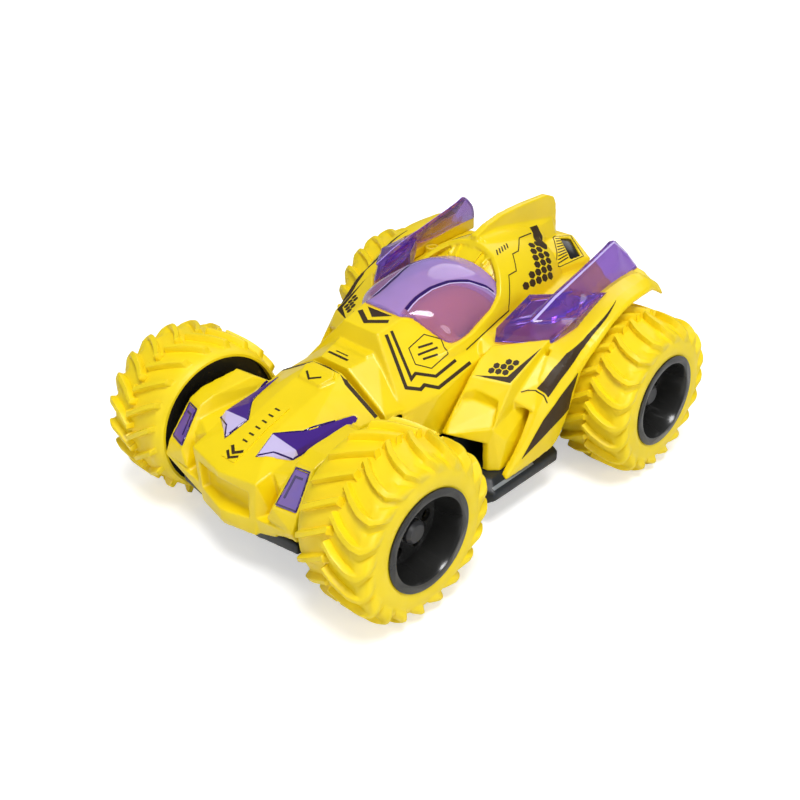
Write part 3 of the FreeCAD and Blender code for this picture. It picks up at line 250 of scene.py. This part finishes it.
# The nodes that each material is given to.
LOOKS = {
    "shell": ["nose_cowl", "cab_shell"] + both("side_panel"),
    "rim": both("rim_front", "rim_rear"),
    "hub": both("hub_cap_front", "hub_cap_rear"),
    "chassis": ["chassis_tray", "battery_door"],
    "vent": ["vent_windows"],
    "canopy": ["canopy"],
    "fin": both("side_fin"),
    "side_lamp": both("side_lamp"),
    "lamp": both("headlamp_lens"),
    "steel": ["front_axle", "idler_pins"] + both("rear_axle", "motor_shaft"),
    "screw": ["body_screws", "battery_door_screw", "front_axle_screws"],
    "motor": both("motor"),
    "contact": ["contact_springs", "contact_plates"],
    "bronze": ["axle_bushes"] + both("motor_pinion"),
    "gear": both("compound_gear", "drive_gear"),
    "gearbox": both("gearbox_case", "gearbox_cover"),
    "cell": ["battery_cells"],
    "board": ["receiver_board"],
    "component": ["board_components"],
    "switch": ["switch_body", "switch_knob"],
    "tyre": both("tyre_front", "tyre_rear"),
}

# Nodes that are remeshed so that their edges are moulded round: (voxel size, smoothing passes).
ROUNDED = {
    "nose_cowl": (0.42, 3),
    "cab_shell": (0.45, 3),
    "chassis_tray": (0.72, 3),
    "canopy": (0.4, 8),
    **dict.fromkeys(both("side_panel"), (0.42, 3)),
    **dict.fromkeys(both("headlamp_lens"), (0.22, 5)),
    **dict.fromkeys(both("side_lamp"), (0.15, 4)),
}
SHARP_ANGLE = math.radians(35)       # edges over this stay sharp
WELD_DISTANCE = 0.002
FLAT_ANGLE = math.radians(0.6)       # faces within this of each other become one
BEVEL_WIDTH = 0.12
BEVEL_ANGLE = math.radians(40)


def shade_group():
    """A geometry node group that shades faces smooth and keeps steep edges sharp."""
    group = bpy.data.node_groups.new("smooth_by_angle", "GeometryNodeTree")
    group.interface.new_socket("Geometry", in_out="INPUT", socket_type="NodeSocketGeometry")
    group.interface.new_socket("Geometry", in_out="OUTPUT", socket_type="NodeSocketGeometry")
    start = group.nodes.new("NodeGroupInput")
    end = group.nodes.new("NodeGroupOutput")
    faces = group.nodes.new("GeometryNodeSetShadeSmooth")
    faces.domain = "FACE"
    edges = group.nodes.new("GeometryNodeSetShadeSmooth")
    edges.domain = "EDGE"
    angle = group.nodes.new("GeometryNodeInputMeshEdgeAngle")
    compare = group.nodes.new("FunctionNodeCompare")
    compare.operation = "LESS_THAN"
    compare.inputs["B"].default_value = SHARP_ANGLE
    group.links.new(start.outputs[0], faces.inputs["Geometry"])
    group.links.new(faces.outputs[0], edges.inputs["Geometry"])
    group.links.new(angle.outputs["Unsigned Angle"], compare.inputs["A"])
    group.links.new(compare.outputs[0], edges.inputs["Shade Smooth"])
    group.links.new(edges.outputs[0], end.inputs[0])
    return group


SMOOTH = shade_group()


def smooth_edges(piece):
    modifier = piece.modifiers.new("smooth", "NODES")
    modifier.node_group = SMOOTH


def dress_node(name, look):
    """Gives a carried-over node its material and its moulded or machined edges."""
    piece = NODES[name]
    piece.data.materials.clear()
    piece.data.materials.append(MATERIALS[look])
    weld = piece.modifiers.new("weld", "WELD")
    weld.merge_threshold = WELD_DISTANCE * MM
    if name in ROUNDED:
        voxel, passes = ROUNDED[name]
        remesh = piece.modifiers.new("voxels", "REMESH")
        remesh.mode = "VOXEL"
        remesh.voxel_size = voxel * MM
        remesh.use_smooth_shade = True
        relax = piece.modifiers.new("relax", "SMOOTH")
        relax.factor = 0.5
        relax.iterations = passes
        return
    flat = piece.modifiers.new("flat", "DECIMATE")
    flat.decimate_type = "DISSOLVE"
    flat.angle_limit = FLAT_ANGLE
    bevel = piece.modifiers.new("edge", "BEVEL")
    bevel.width = BEVEL_WIDTH * MM
    bevel.segments = 2
    bevel.limit_method = "ANGLE"
    bevel.angle_limit = BEVEL_ANGLE
    smooth_edges(piece)


# --- tyres -----------------------------------------------------------------------------------

LUGS = 20                 # in each of the two rows
LUG_PITCH = 360.0 / LUGS
# The tyre's outer skin from the bead to the open back, and its inside back again, as
# (depth from the rim's face, radius).
TYRE_SKIN = [(0.9, 17.6), (0.3, 19.0), (0.2, 21.5), (0.7, 24.2), (1.7, 26.0), (3.4, 27.5), (5.8, 28.4),
             (9.0, 28.6), (16.0, 28.7), (23.5, 28.6), (28.0, 28.1), (30.8, 27.2), (32.2, 26.2)]
TYRE_LINER = [(32.2, 25.3), (28.0, 25.3), (24.0, 26.0), (8.5, 26.0), (4.4, 24.0), (3.4, 19.0), (3.2, 17.6)]
LUG_HEIGHT = 2.55
SPLIT = 15.9              # the depth at which the two rows of lugs meet
ROW_END = 1.0             # a lug ends this far past the split,
ROW_TOP = 0.5             # and has its full height from here on
BAR_END = 29.6            # the inner bars stop short of the plain band at the tyre's back
BAR_FADE = 1.4
WALL_DEPTH = 5.8          # the tyre's outer wall reaches this deep
WALL_START = 2.0          # the worn side is full here
WALL_END = 6.5            # and gone here
LUG_FOOT = (23.2, 26.4)   # the radii between which a lug rises out of the wall
BULGE = 0.8               # how much of a lug's height goes sideways where the skin faces sideways
# A lug across its line, and its worn side on the tyre's wall: (distance in mm, share of the height).
LUG_SIDE = [(0.80, 1.0), (1.08, 0.82), (1.32, 0.0)]
WORN_SIDE = [(0.60, 1.0), (5.2, 0.0)]
# How far a lug's line has swept round, in degrees: on the tread by depth, on the wall by radius, and for the
# inner bars per millimetre of depth.
TREAD_SWEEP = [(3.4, 11.2), (5.5, 10.6), (8.0, 9.0), (12.0, 5.4), (SPLIT, 0.0)]
WALL_SWEEP = [(22.0, 1.0), (24.0, 3.0), (26.0, 7.2), (27.5, 11.2)]
BAR_SWEEP = 1.22
# Where the skin has a row of corners between one lug and the next, in degrees.
STATIONS = (0, 0.8, 1.6, 2.16, 2.64, 3.8, 5.1, 6.36, 6.84, 7.4, 8.2, 9, 9.8, 10.6, 11.16, 11.64, 12.9, 14.2,
            15.36, 15.84, 16.4, 17.2)
SKIN_ROWS = 112
CURVE_STEPS = 24          # points worked out between two given ones, before they are spaced evenly
# Each pair of wheels: name, axle, rim's face, and how far its left and right tyres are turned, in degrees.
WHEELS = (("front", AXLE_X, FRONT_RIM_Y, (3.4, 8.7)), ("rear", -AXLE_X, REAR_RIM_Y, (8.0, 11.4)))


def ramp(value, low, high):
    """A smooth step from 0 at low to 1 at high. Low may be the larger."""
    share = min(1.0, max(0.0, (value - low) / (high - low)))
    return share * share * (3 - 2 * share)


def along(rows, value):
    """Linear interpolation in a list of (position, value), sorted by position."""
    if value <= rows[0][0]:
        return rows[0][1]
    for (a, low), (b, high) in zip(rows, rows[1:]):
        if value <= b:
            return low + (high - low) * (value - a) / (b - a)
    return rows[-1][1]


def curve_through(points, count):
    """Evenly spaced points on a Catmull-Rom curve through the given ones."""
    padded = [points[0]] + list(points) + [points[-1]]
    dense = []
    for a, b, c, d in zip(padded, padded[1:], padded[2:], padded[3:]):
        for step in range(CURVE_STEPS):
            t = step / CURVE_STEPS
            dense.append(tuple(0.5 * (2 * q + (r - p) * t + (2 * p - 5 * q + 4 * r - s) * t * t
                                      + (3 * q - p - 3 * r + s) * t ** 3) for p, q, r, s in zip(a, b, c, d)))
    dense.append(points[-1])
    reach = [0.0]
    for first, second in zip(dense, dense[1:]):
        reach.append(reach[-1] + math.dist(first, second))
    even = []
    for index in range(count):
        goal = reach[-1] * index / (count - 1)
        at = next(i for i, r in enumerate(reach) if r >= goal - 1e-9)
        if at == 0:
            even.append(dense[0])
            continue
        share = (goal - reach[at - 1]) / (reach[at] - reach[at - 1])
        even.append(tuple(p + (q - p) * share for p, q in zip(dense[at - 1], dense[at])))
    return even


def lug_sweep(depth, radius):
    """How far a lug's line has swept round at a place on the skin, in degrees."""
    if depth > SPLIT:
        return (depth - SPLIT) * BAR_SWEEP
    tread = along(TREAD_SWEEP, depth)
    return min(tread, along(WALL_SWEEP, radius)) if depth < WALL_DEPTH else tread


def lug_height(phase, depth, radius):
    """The lugs' height at a place. The phase is the angle past a lug's own line, in degrees."""
    arc = radius * math.pi / 180
    across = abs(phase % LUG_PITCH - LUG_PITCH / 2) * arc
    inner = (along(LUG_SIDE, across) * ramp(depth, SPLIT - ROW_END, SPLIT - ROW_TOP)
             * ramp(depth, BAR_END, BAR_END - BAR_FADE))
    across = ((phase + LUG_PITCH / 2) % LUG_PITCH - LUG_PITCH / 2) * arc
    outer = along(LUG_SIDE, abs(across)) * ramp(depth, SPLIT + ROW_END, SPLIT + ROW_TOP)
    if across < 0:
        outer += ramp(depth, WALL_END, WALL_START) * (along(WORN_SIDE, -across) - outer)
    if depth < WALL_DEPTH:
        outer *= ramp(radius, *LUG_FOOT)
    return LUG_HEIGHT * max(inner, outer)


def tyre(name, body, x, face_y, side, phase):
    """A soft open-backed tyre whose lugs are part of its skin. A right tyre is a left one turned about."""
    skin = curve_through(TYRE_SKIN, SKIN_ROWS)
    turns = [LUG_PITCH * lug + station for lug in range(LUGS) for station in STATIONS]
    mesh = bmesh.new()

    def corner(depth, radius, degrees):
        angle = side * math.radians(degrees + phase)
        return mesh.verts.new(((x + radius * math.sin(angle)) * MM, side * (face_y - depth) * MM,
                               (AXLE_Z + radius * math.cos(angle)) * MM))

    rings = []
    for index, (depth, radius) in enumerate(skin):
        before = skin[max(0, index - 1)]
        after = skin[min(len(skin) - 1, index + 1)]
        run = Vector((after[0] - before[0], after[1] - before[1])).normalized()
        sweep = lug_sweep(depth, radius)
        ring = []
        for turn in turns:
            lift = lug_height(turn, depth, radius)
            # No lug reaches further out than the ground.
            ring.append(corner(depth - run.y * lift * BULGE, min(radius + run.x * lift, AXLE_Z),
                               turn + sweep))
        rings.append(ring)
    sweep = lug_sweep(*skin[-1])
    for depth, radius in TYRE_LINER:
        rings.append([corner(depth, radius, turn + sweep) for turn in turns])
    for ring, after in zip(rings, rings[1:] + rings[:1]):
        for a, b, c, d in zip(ring, ring[1:] + ring[:1], after[1:] + after[:1], after):
            mesh.faces.new((a, b, c, d))
    piece = finish_piece(name, mesh, body, "tyre", replaced=(name.replace("soft_", ""),))
    smooth_edges(piece)


def finish_piece(name, mesh, body, look, replaced=(), smooth=True):
    """Turns a bmesh into a named piece that rides on a body."""
    bmesh.ops.recalc_face_normals(mesh, faces=mesh.faces)
    data = bpy.data.meshes.new(name)
    mesh.to_mesh(data)
    mesh.free()
    if smooth:
        data.shade_smooth()
    piece = add_object(name, data)
    data.materials.append(MATERIALS[look])
    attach(piece, body)
    if replaced:
        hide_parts(*replaced)
    return piece


# --- printed and moulded trim ----------------------------------------------------------------

GRID = 0.9                # the drawings are cut to this mesh size so that they follow the shells
SNAP = 0.0005             # corners of a drawing within this are one
SHEET_HEIGHT = 150.0      # a drawing's rays start this far out, clear of the car
STEEPEST = 2.2            # a cell whose corners differ more than this in depth hangs over an edge
PRINT_LIFT = 0.07
PRINT_DEPTH = 0.25
FINE = 0.35               # widths of lines
THIN = 0.45
MEDIUM = 0.55

SHELLS = ["nose_cowl", "cab_shell", *both("side_panel"), "vent_windows"]
LAMPS = [*both("headlamp_lens", "side_lamp"), "nose_cowl"]

# Which way the sheet that a drawing is made on looks.
WEDGE_FACING = (0.2, 0.7, 0.68)
ROOF_FACING = (0, 0.62, 0.78)
ROOF_RIM_FACING = (0.5, 0.45, 0.74)
FENDER_FACING = (0.1, 0.9, 0.43)
PONTOON_FACING = (0.37, 0.26, 0.89)
CAB_FACING = (0.25, 0, 0.97)
HOOD_FACING = (0.42, 0, 0.9)
TOP_FACING = (0, 0, 1)
STEP_FACING = (0, 0.6, 0.8)
SIDE_LAMP_FACING = (0.77, 0.19, 0.61)
CANOPY_FACING = (0, 0.5, 0.87)


def surface_of(names):
    """The finished surfaces of some nodes, ready for ray casting, in millimetres."""
    graph = bpy.context.evaluated_depsgraph_get()
    corners = []
    faces = []
    for name in names:
        done = NODES[name].evaluated_get(graph)
        data = done.to_mesh()
        first = len(corners)
        corners.extend((done.matrix_world @ v.co) / MM for v in data.vertices)
        faces.extend([first + i for i in face.vertices] for face in data.polygons)
        done.to_mesh_clear()
    return BVHTree.FromPolygons(corners, faces)


def stroke(points, width, closed=False):
    """The four-sided cells of a line of even width with mitred corners."""
    spots = [Vector(p) for p in points]
    count = len(spots)
    rails = []
    for index, spot in enumerate(spots):
        before = (spot - spots[index - 1]).normalized() if closed or index else None
        after = (spots[(index + 1) % count] - spot).normalized() if closed or index + 1 < count else None
        before = before or after
        after = after or before
        aside = Vector((-before.y - after.y, before.x + after.x))
        aside *= width / (1 + before.dot(after)) / 2
        rails.append((spot + aside, spot - aside))
    pairs = list(zip(rails, rails[1:] + rails[:1]))
    return [(a, c, d, b) for (a, b), (c, d) in (pairs if closed else pairs[:-1])]


def hexagon(centre, across, tall):
    """A honeycomb cell: across its flat sides and between its points."""
    return [(centre[0] + across / 2 * math.sin(math.radians(60 * i)) / math.cos(math.radians(30)),
             centre[1] + tall / 2 * math.cos(math.radians(60 * i))) for i in range(6)]


def honeycomb(rows, pitch, first, step, across, tall):
    """Rows of hexagons, each row given as (start, count)."""
    return [hexagon((start + pitch * index, first + step * row), across, tall)
            for row, (start, count) in enumerate(rows) for index in range(count)]


def cut_to_grid(mesh):
    for axis, normal in enumerate((Vector((1, 0, 0)), Vector((0, 1, 0)))):
        spots = [v.co[axis] for v in mesh.verts]
        place = math.ceil(min(spots) / GRID) * GRID
        while place < max(spots):
            bmesh.ops.bisect_plane(mesh, geom=mesh.verts[:] + mesh.edges[:] + mesh.faces[:], dist=2 * SNAP,
                                   plane_co=normal * place, plane_no=normal)
            place += GRID


def lay(mesh, shapes, tree, facing, side, lift, depth):
    """Lays flat shapes on the shells and adds them to the mesh as thin closed inlays.

    The shapes are drawn on a sheet that looks along facing. Its first axis runs forward and its second to the
    car's left and down. With side -1 the whole sheet is mirrored to the car's right.
    """
    out = Vector(facing).normalized()
    forward = (Vector((1, 0, 0)) - out * out.x).normalized()
    aside = out.cross(forward)
    mirror = Vector((1, side, 1))
    away = out * mirror
    sheet = bmesh.new()
    for shape in shapes:
        sheet.faces.new([sheet.verts.new((p[0], p[1], 0)) for p in shape])
    bmesh.ops.remove_doubles(sheet, verts=sheet.verts, dist=SNAP)
    bmesh.ops.triangulate(sheet, faces=sheet.faces)
    cut_to_grid(sheet)
    bmesh.ops.triangulate(sheet, faces=sheet.faces)
    lost = []
    for spot in sheet.verts:
        start = (forward * spot.co.x + aside * spot.co.y + out * SHEET_HEIGHT) * mirror
        hit = tree.ray_cast(start, -away)[0]
        if hit is None:
            lost.append(spot)
        else:
            spot.co = hit + away * lift
    bmesh.ops.delete(sheet, geom=lost, context="VERTS")
    steep = []
    for face in sheet.faces:
        heights = [v.co.dot(away) for v in face.verts]
        if max(heights) - min(heights) > STEEPEST:
            steep.append(face)
    bmesh.ops.delete(sheet, geom=steep, context="FACES")
    made = bmesh.ops.extrude_face_region(sheet, geom=sheet.faces[:], use_keep_orig=True)["geom"]
    for item in made:
        if isinstance(item, bmesh.types.BMVert):
            item.co -= away * depth
    bmesh.ops.scale(sheet, vec=(MM, MM, MM), verts=sheet.verts)
    done = bpy.data.meshes.new("sheet")
    sheet.to_mesh(done)
    sheet.free()
    mesh.from_mesh(done)
    bpy.data.meshes.remove(done)


def trim_piece(name, facing, shapes, tree, look="ink", sides=(1, -1), lift=PRINT_LIFT,
               depth=PRINT_DEPTH):
    """One piece of print or trim, drawn for the left side or the middle, on the surfaces in a tree."""
    mesh = bmesh.new()
    for side in sides:
        lay(mesh, shapes, tree, facing, side, lift, depth)
    finish_piece(name, mesh, "body", look, smooth=False)


def wedge_print():
    """Two bent stripes round a hexagon with plain bars in it."""
    outer = stroke([(9.5, -41.5), (13.3, -21.8), (8.8, -18.8), (6.7, -19.5), (2.4, -16.2),
                    (-14.0, -18.5)], 1.3)
    inner = stroke([(7.0, -41.8), (9.9, -23.6), (7.4, -24.6), (1.0, -20.2), (-9.3, -21.8)], 1.15)
    outline = stroke([(-3.5, -35.3), (-8.5, -31.0), (-7.3, -25.0), (0.9, -23.4), (5.6, -27.4),
                      (4.6, -33.5)], 0.4, closed=True)
    centre, step = Vector((-1.4, -29.4)), Vector((0.35, 2.2))
    bars = []
    for row, reach in ((-1, 3.0), (0, 4.2), (1, 3.0)):
        half = Vector((reach, -0.5))
        bars += stroke([centre + step * row - half, centre + step * row + half], 0.8)
    return outer + inner + outline + bars


def roof_print():
    """A honeycomb patch, a cranked trace, a side band line and five short dashes."""
    cells = honeycomb([(-64.2, 2), (-62.2, 2), (-65.0, 3), (-63.6, 3), (-61.9, 4), (-60.5, 5)],
                      pitch=4.4, first=-39.2, step=2.76, across=3.75, tall=3.0)
    trace = stroke([(-66.5, -44.6), (-57.0, -44.2), (-49.4, -38.8), (-45.3, -38.5), (-41.2, -31.8),
                    (-36.3, -31.5), (-30.3, -21.5)], THIN)
    band = stroke([(-3.5, -15.4), (-23.6, -19.3), (-30.0, -20.4), (-30.3, -21.5)], THIN)
    patch = [[(-68.3, -47.2), (-67.7, -44.3), (-65.4, -41.5), (-64.4, -37.4), (-66.2, -35.8), (-68.1, -35.7),
              (-70.3, -37.3), (-74.4, -42.4), (-73.4, -47.2)]]
    dashes = []
    for index in range(5):
        start = Vector((-47.6 + 1.9 * index, -43.9 + 0.25 * index))
        dashes += stroke([start, start + Vector((1.8, 2.3))], 0.6)
    return cells + trace + band + patch + dashes


def fender_print():
    """Two long pointed flashes, one on each side of the fender's edge, and a fine seam line."""
    upper = [[(-21.0, -20.3), (-28.0, -24.5), (-35.2, -28.0), (-43.5, -30.0), (-50.2, -32.5), (-64.0, -38.0),
              (-52.3, -33.4), (-39.8, -26.8), (-28.7, -20.4), (-22.3, -16.2)]]
    lower = [[(-36.0, -20.0), (-26.8, -14.6), (-18.6, -8.9), (-8.5, 2.0), (-22.1, -3.8), (-32.4, -7.5),
              (-32.8, -13.1)]]
    seam = stroke([(-15.9, -21.0), (-18.0, -20.8), (-20.2, -19.8), (-21.0, -17.5), (-21.4, -14.3)], FINE)
    return upper + lower + seam


def pontoon_print():
    """A dark corner band and a small honeycomb patch."""
    corner = [[(-21.8, 17.6), (-27.9, 29.2), (-46.5, 27.5), (-36.7, 26.9), (-29.1, 26.7)]]
    cells = honeycomb([(-30.0, 2), (-34.1, 3), (-35.5, 3)], pitch=2.75, first=20.7, step=2.15, across=2.4,
                      tall=2.35)
    return corner + cells


def front_print():
    """A chevron with a dark wedge behind it, ahead of the canopy."""
    chevron = stroke([(-1.5, -7.4), (2.6, -0.4), (-1.7, 6.9)], 1.9)
    wedge = [[(-4.6, -6.6), (-0.6, -0.4), (-4.8, 5.6)]]
    return chevron + wedge


def boss_print():
    """A small chevron on the hood's boss."""
    return stroke([(17.2, -4.0), (19.6, -0.4), (17.0, 3.4)], 0.8)


def tip_print():
    """Two chevrons at the front end of the spine strip."""
    return (stroke([(54.6, -2.9), (56.8, 0), (54.6, 2.9)], 1.2)
            + stroke([(57.0, -2.9), (59.0, 0), (57.0, 2.9)], 1.0))


def seam_print():
    """The dark joint where the cab sits on the hood."""
    return stroke([(39.9, -7.4), (39.9, 7.4)], 1.2) + stroke([(39.9, 7.4), (41.0, 10.6), (40.8, 24.6)], 1.5)


def dash_print():
    """A row of plain dashes along the spine strip."""
    dashes = []
    for index in range(6):
        along_strip = 35.6 + 3.1 * index
        dashes += stroke([(along_strip, -1.2), (along_strip, 1.2)], 0.7)
    return dashes


def spine_shape():
    """The flat strip down the middle of the snout."""
    back, front, half = 33.0, 59.6, 3.4
    return [[(back, -half), (front, -half), (front, half), (back, half)]]


def step_highlight_shape():
    """A painted highlight: the pale line along a side step's upper edge."""
    return stroke([(11.2, 32.0), (-11.0, 32.0)], 1.3)


def plate_print():
    """Two plain bars on the step ahead of the cab."""
    return stroke([(17.4, -6.6), (17.4, 3.4)], 1.0) + stroke([(15.5, -4.6), (15.5, 1.4)], 0.5)


def lamp_rim():
    """The dark line in the gap round a headlamp."""
    return stroke([(24.6, 22.0), (47.5, 19.3), (49.4, 12.5), (53.5, 8.4), (43.9, 6.6), (37.1, 13.7),
                   (27.0, 17.6)], MEDIUM)


def side_lamp_rim():
    """The dark line round a side lamp, and the bracket inside it."""
    edge = [(8.8, 11.0), (6.8, 16.0), (19.0, 20.4), (21.8, 13.0)]
    bracket = [(18.6, 14.2), (11.0, 12.9), (10.0, 15.6)]
    return stroke(edge, MEDIUM, closed=True) + stroke(bracket, 0.8)


def vent_print():
    """A fine frame round the vent, and a ladder of bars that widens beside it."""
    border = stroke([(-82.6, -41.0), (-84.3, -41.2), (-90.2, -37.9), (-84.0, -26.6), (-69.6, -27.8),
                     (-76.2, -34.2)], FINE, closed=True)
    start, end = Vector((-83.3, -40.6)), Vector((-71.4, -28.6))
    start_far, end_far = Vector((-84.9, -39.6)), Vector((-77.4, -28.8))
    count = 9
    rungs = []
    for index in range(count):
        share = (index + 0.5) / count
        rungs += stroke([start.lerp(end, share), start_far.lerp(end_far, share)], MEDIUM)
    return border + rungs


def roof_ribs():
    """Ribs across the sloping band between the canopy and the rim of the roof."""
    reach = Vector((6.0, 1.2))
    ribs = []
    for start in ((-67.0, -37.0), (-65.9, -32.0), (-63.9, -27.2), (-60.4, -22.2)):
        ribs += stroke([start, Vector(start) + reach], 0.8)
    return ribs


def fin_rim():
    """A painted highlight: the bright line where a fin's upper and rear edges gather the light."""
    return stroke([(-30.3, -42.6), (-43.5, -47.1), (-56.5, -50.2), (-68.5, -53.0), (-77.6, -55.4),
                   (-82.1, -56.5), (-85.5, -53.8), (-89.4, -49.8), (-92.6, -44.0)], 0.7)


def canopy_line(width, shift=0.0):
    """The line where the canopy's left side window meets its raised middle, moved aside by the shift. The
    dark band laid on it is painted shade, and the pale one beside it a painted highlight.
    """
    line = [(8.8, -29.0), (5.8, -30.0), (2.6, -30.7), (-4.0, -31.0), (-11.3, -29.6), (-18.8, -26.3),
            (-24.7, -21.4), (-26.6, -18.4)]
    return stroke([(u, v + shift) for u, v in line], width)


# --- stage -----------------------------------------------------------------------------------

FLOOR_HALF = 6.0
FLOOR_WHITE = (0.86, 0.86, 0.86, 1)
# The floor glows for the camera alone, so that it is white in the picture: the glow goes from the first
# strength to the second between these distances from the origin.
FLOOR_GLOW = (0.5, 1.0)
FLOOR_GLOW_REACH = (0.15, 0.6)
SURROUND_COLOUR = (0.97, 0.98, 1.0, 1)
SURROUND_LIGHT = 0.24                # the strength that the car sees
SURROUND_SEEN = 1.02                 # and the one that the camera sees
CAR_MIDDLE = (0, 0, 0.03)
# Each lamp: name, place, what it is aimed at, diameter and watts.
STUDIO_LAMPS = (
    ("key", (0.22, 0.34, 1.05), CAR_MIDDLE, 0.4, 7.6),
    ("side", (0.25, 1.0, 0.45), CAR_MIDDLE, 0.5, 2.6),
    ("fill", (0.95, -0.25, 0.45), CAR_MIDDLE, 0.5, 1.1),
    ("back", (-0.70, -0.35, 0.70), (0, 0, 0.04), 0.6, 1.6),
)
LENS = 45.19                         # in millimetres, on a sensor of this width
SENSOR = 36.0
CAMERA_PLACE = (0.24148, 0.23467, 0.22691)
CAMERA_AHEAD = (-0.61193, -0.60567, -0.50863)    # which way it looks
CAMERA_RIGHT = (-0.69606, 0.71778, -0.01730)     # and which way is right in its picture


def map_range(tree, source, **ends):
    """A node that maps a value, with its ends given as from_min, from_max, to_min and to_max."""
    made = tree.nodes.new("ShaderNodeMapRange")
    for socket, value in ends.items():
        made.inputs[socket.replace("_", " ").title()].default_value = value
    tree.links.new(source, made.inputs["Value"])
    return made.outputs["Result"]


def make_floor():
    """A plain white floor."""
    mesh = bmesh.new()
    bmesh.ops.create_grid(mesh, x_segments=1, y_segments=1, size=FLOOR_HALF)
    data = bpy.data.meshes.new("floor")
    mesh.to_mesh(data)
    mesh.free()
    floor = add_object("floor", data)
    material = bpy.data.materials.new("floor_white")
    material.use_nodes = True
    tree = material.node_tree
    shader = tree.nodes["Principled BSDF"]
    shader.inputs["Base Color"].default_value = FLOOR_WHITE
    shader.inputs["Roughness"].default_value = 0.9
    shader.inputs["Specular IOR Level"].default_value = 0.1
    shader.inputs["Emission Color"].default_value = (1, 1, 1, 1)
    path = tree.nodes.new("ShaderNodeLightPath")
    place = tree.nodes.new("ShaderNodeTexCoord")
    away = tree.nodes.new("ShaderNodeVectorMath")
    away.operation = "LENGTH"
    tree.links.new(place.outputs["Object"], away.inputs[0])
    glow = map_range(tree, away.outputs["Value"], from_min=FLOOR_GLOW_REACH[0], from_max=FLOOR_GLOW_REACH[1],
                     to_min=FLOOR_GLOW[0], to_max=FLOOR_GLOW[1])
    seen = tree.nodes.new("ShaderNodeMath")
    seen.operation = "MULTIPLY"
    tree.links.new(path.outputs["Is Camera Ray"], seen.inputs[0])
    tree.links.new(glow, seen.inputs[1])
    tree.links.new(seen.outputs[0], shader.inputs["Emission Strength"])
    data.materials.append(material)


def make_surround():
    """An even pale surround that looks brighter to the camera than to the car."""
    world = bpy.data.worlds.new("surround")
    bpy.context.scene.world = world
    world.use_nodes = True
    tree = world.node_tree
    back = tree.nodes["Background"]
    back.inputs["Color"].default_value = SURROUND_COLOUR
    path = tree.nodes.new("ShaderNodeLightPath")
    strength = map_range(tree, path.outputs["Is Camera Ray"], to_min=SURROUND_LIGHT, to_max=SURROUND_SEEN)
    tree.links.new(strength, back.inputs["Strength"])


def lamp(name, place, aim, size, watts):
    data = bpy.data.lights.new(name, "AREA")
    data.shape = "DISK"
    data.size = size
    data.energy = watts
    made = add_object(name, data)
    made.location = place
    made.rotation_euler = (Vector(aim) - Vector(place)).to_track_quat("-Z", "Y").to_euler()


def make_camera():
    """The viewpoint: ahead of the car, to its left and above."""
    data = bpy.data.cameras.new("camera")
    data.lens = LENS
    data.sensor_width = SENSOR
    data.clip_start = 0.01
    camera = add_object("camera", data)
    right = Vector(CAMERA_RIGHT).normalized()
    ahead = Vector(CAMERA_AHEAD).normalized()
    up = right.cross(ahead).normalized()
    camera.matrix_world = Matrix.Translation(CAMERA_PLACE) @ Matrix((right, up, -ahead)).transposed().to_4x4()
    bpy.context.scene.camera = camera


# --- build -----------------------------------------------------------------------------------

make_camera()
for look, names in LOOKS.items():
    for name in names:
        dress_node(name, look)

for end, x, face_y, phases in WHEELS:
    for hand, side, phase in (("left", 1, phases[0]), ("right", -1, phases[1])):
        tyre("soft_tyre_" + end + "_" + hand, end + "_wheel_" + hand, x, face_y, side, phase)

shells = surface_of(SHELLS)
cowl = surface_of(["nose_cowl"])
cab = surface_of(["cab_shell"])
tray = surface_of(["chassis_tray"])
canopy = surface_of(["canopy"])
lamps = surface_of(LAMPS)
fins = surface_of(both("side_fin"))

for name, facing, drawing in (
        ("print_wedge", WEDGE_FACING, wedge_print()),
        ("print_roof", ROOF_FACING, roof_print()),
        ("print_vent", ROOF_FACING, vent_print()),
        ("print_pontoon", PONTOON_FACING, pontoon_print())):
    trim_piece(name, facing, drawing, shells)
for name, facing, drawing in (
        ("print_cab", CAB_FACING, front_print()),
        ("print_boss", HOOD_FACING, boss_print()),
        ("print_plate", CAB_FACING, plate_print())):
    trim_piece(name, facing, drawing, shells, sides=(1,))
trim_piece("print_seam", TOP_FACING, seam_print(), shells)
trim_piece("print_fender", FENDER_FACING, fender_print(), shells, lift=0.24, depth=0.5)
trim_piece("spine_strip", HOOD_FACING, spine_shape(), cowl, "shell", sides=(1,), lift=0.42,
           depth=0.8)
trim_piece("print_tip", HOOD_FACING, tip_print() + dash_print(), cowl, sides=(1,), lift=0.48)
trim_piece("headlamp_rims", HOOD_FACING, lamp_rim(), lamps, "crease")
trim_piece("side_lamp_rims", SIDE_LAMP_FACING, side_lamp_rim(), lamps, "crease")
# A painted highlight along each side step's upper edge.
trim_piece("step_highlight", STEP_FACING, step_highlight_shape(), tray, "grey", lift=0.15, depth=0.5)
trim_piece("roof_ribs", ROOF_RIM_FACING, roof_ribs(), cab, "shell", lift=0.7, depth=1.1)
trim_piece("fin_edge_glints", FENDER_FACING, fin_rim(), fins, "glint")
# Painted shade along the canopy's crease, and a painted highlight beside it.
trim_piece("canopy_crease_shade", CANOPY_FACING, canopy_line(1.3), canopy, "crease")
trim_piece("canopy_glint", CANOPY_FACING, canopy_line(THIN, shift=1.0), canopy, "glint")

make_floor()
make_surround()
for settings in STUDIO_LAMPS:
    lamp(*settings)

bpy.context.scene.view_settings.view_transform = "Standard"
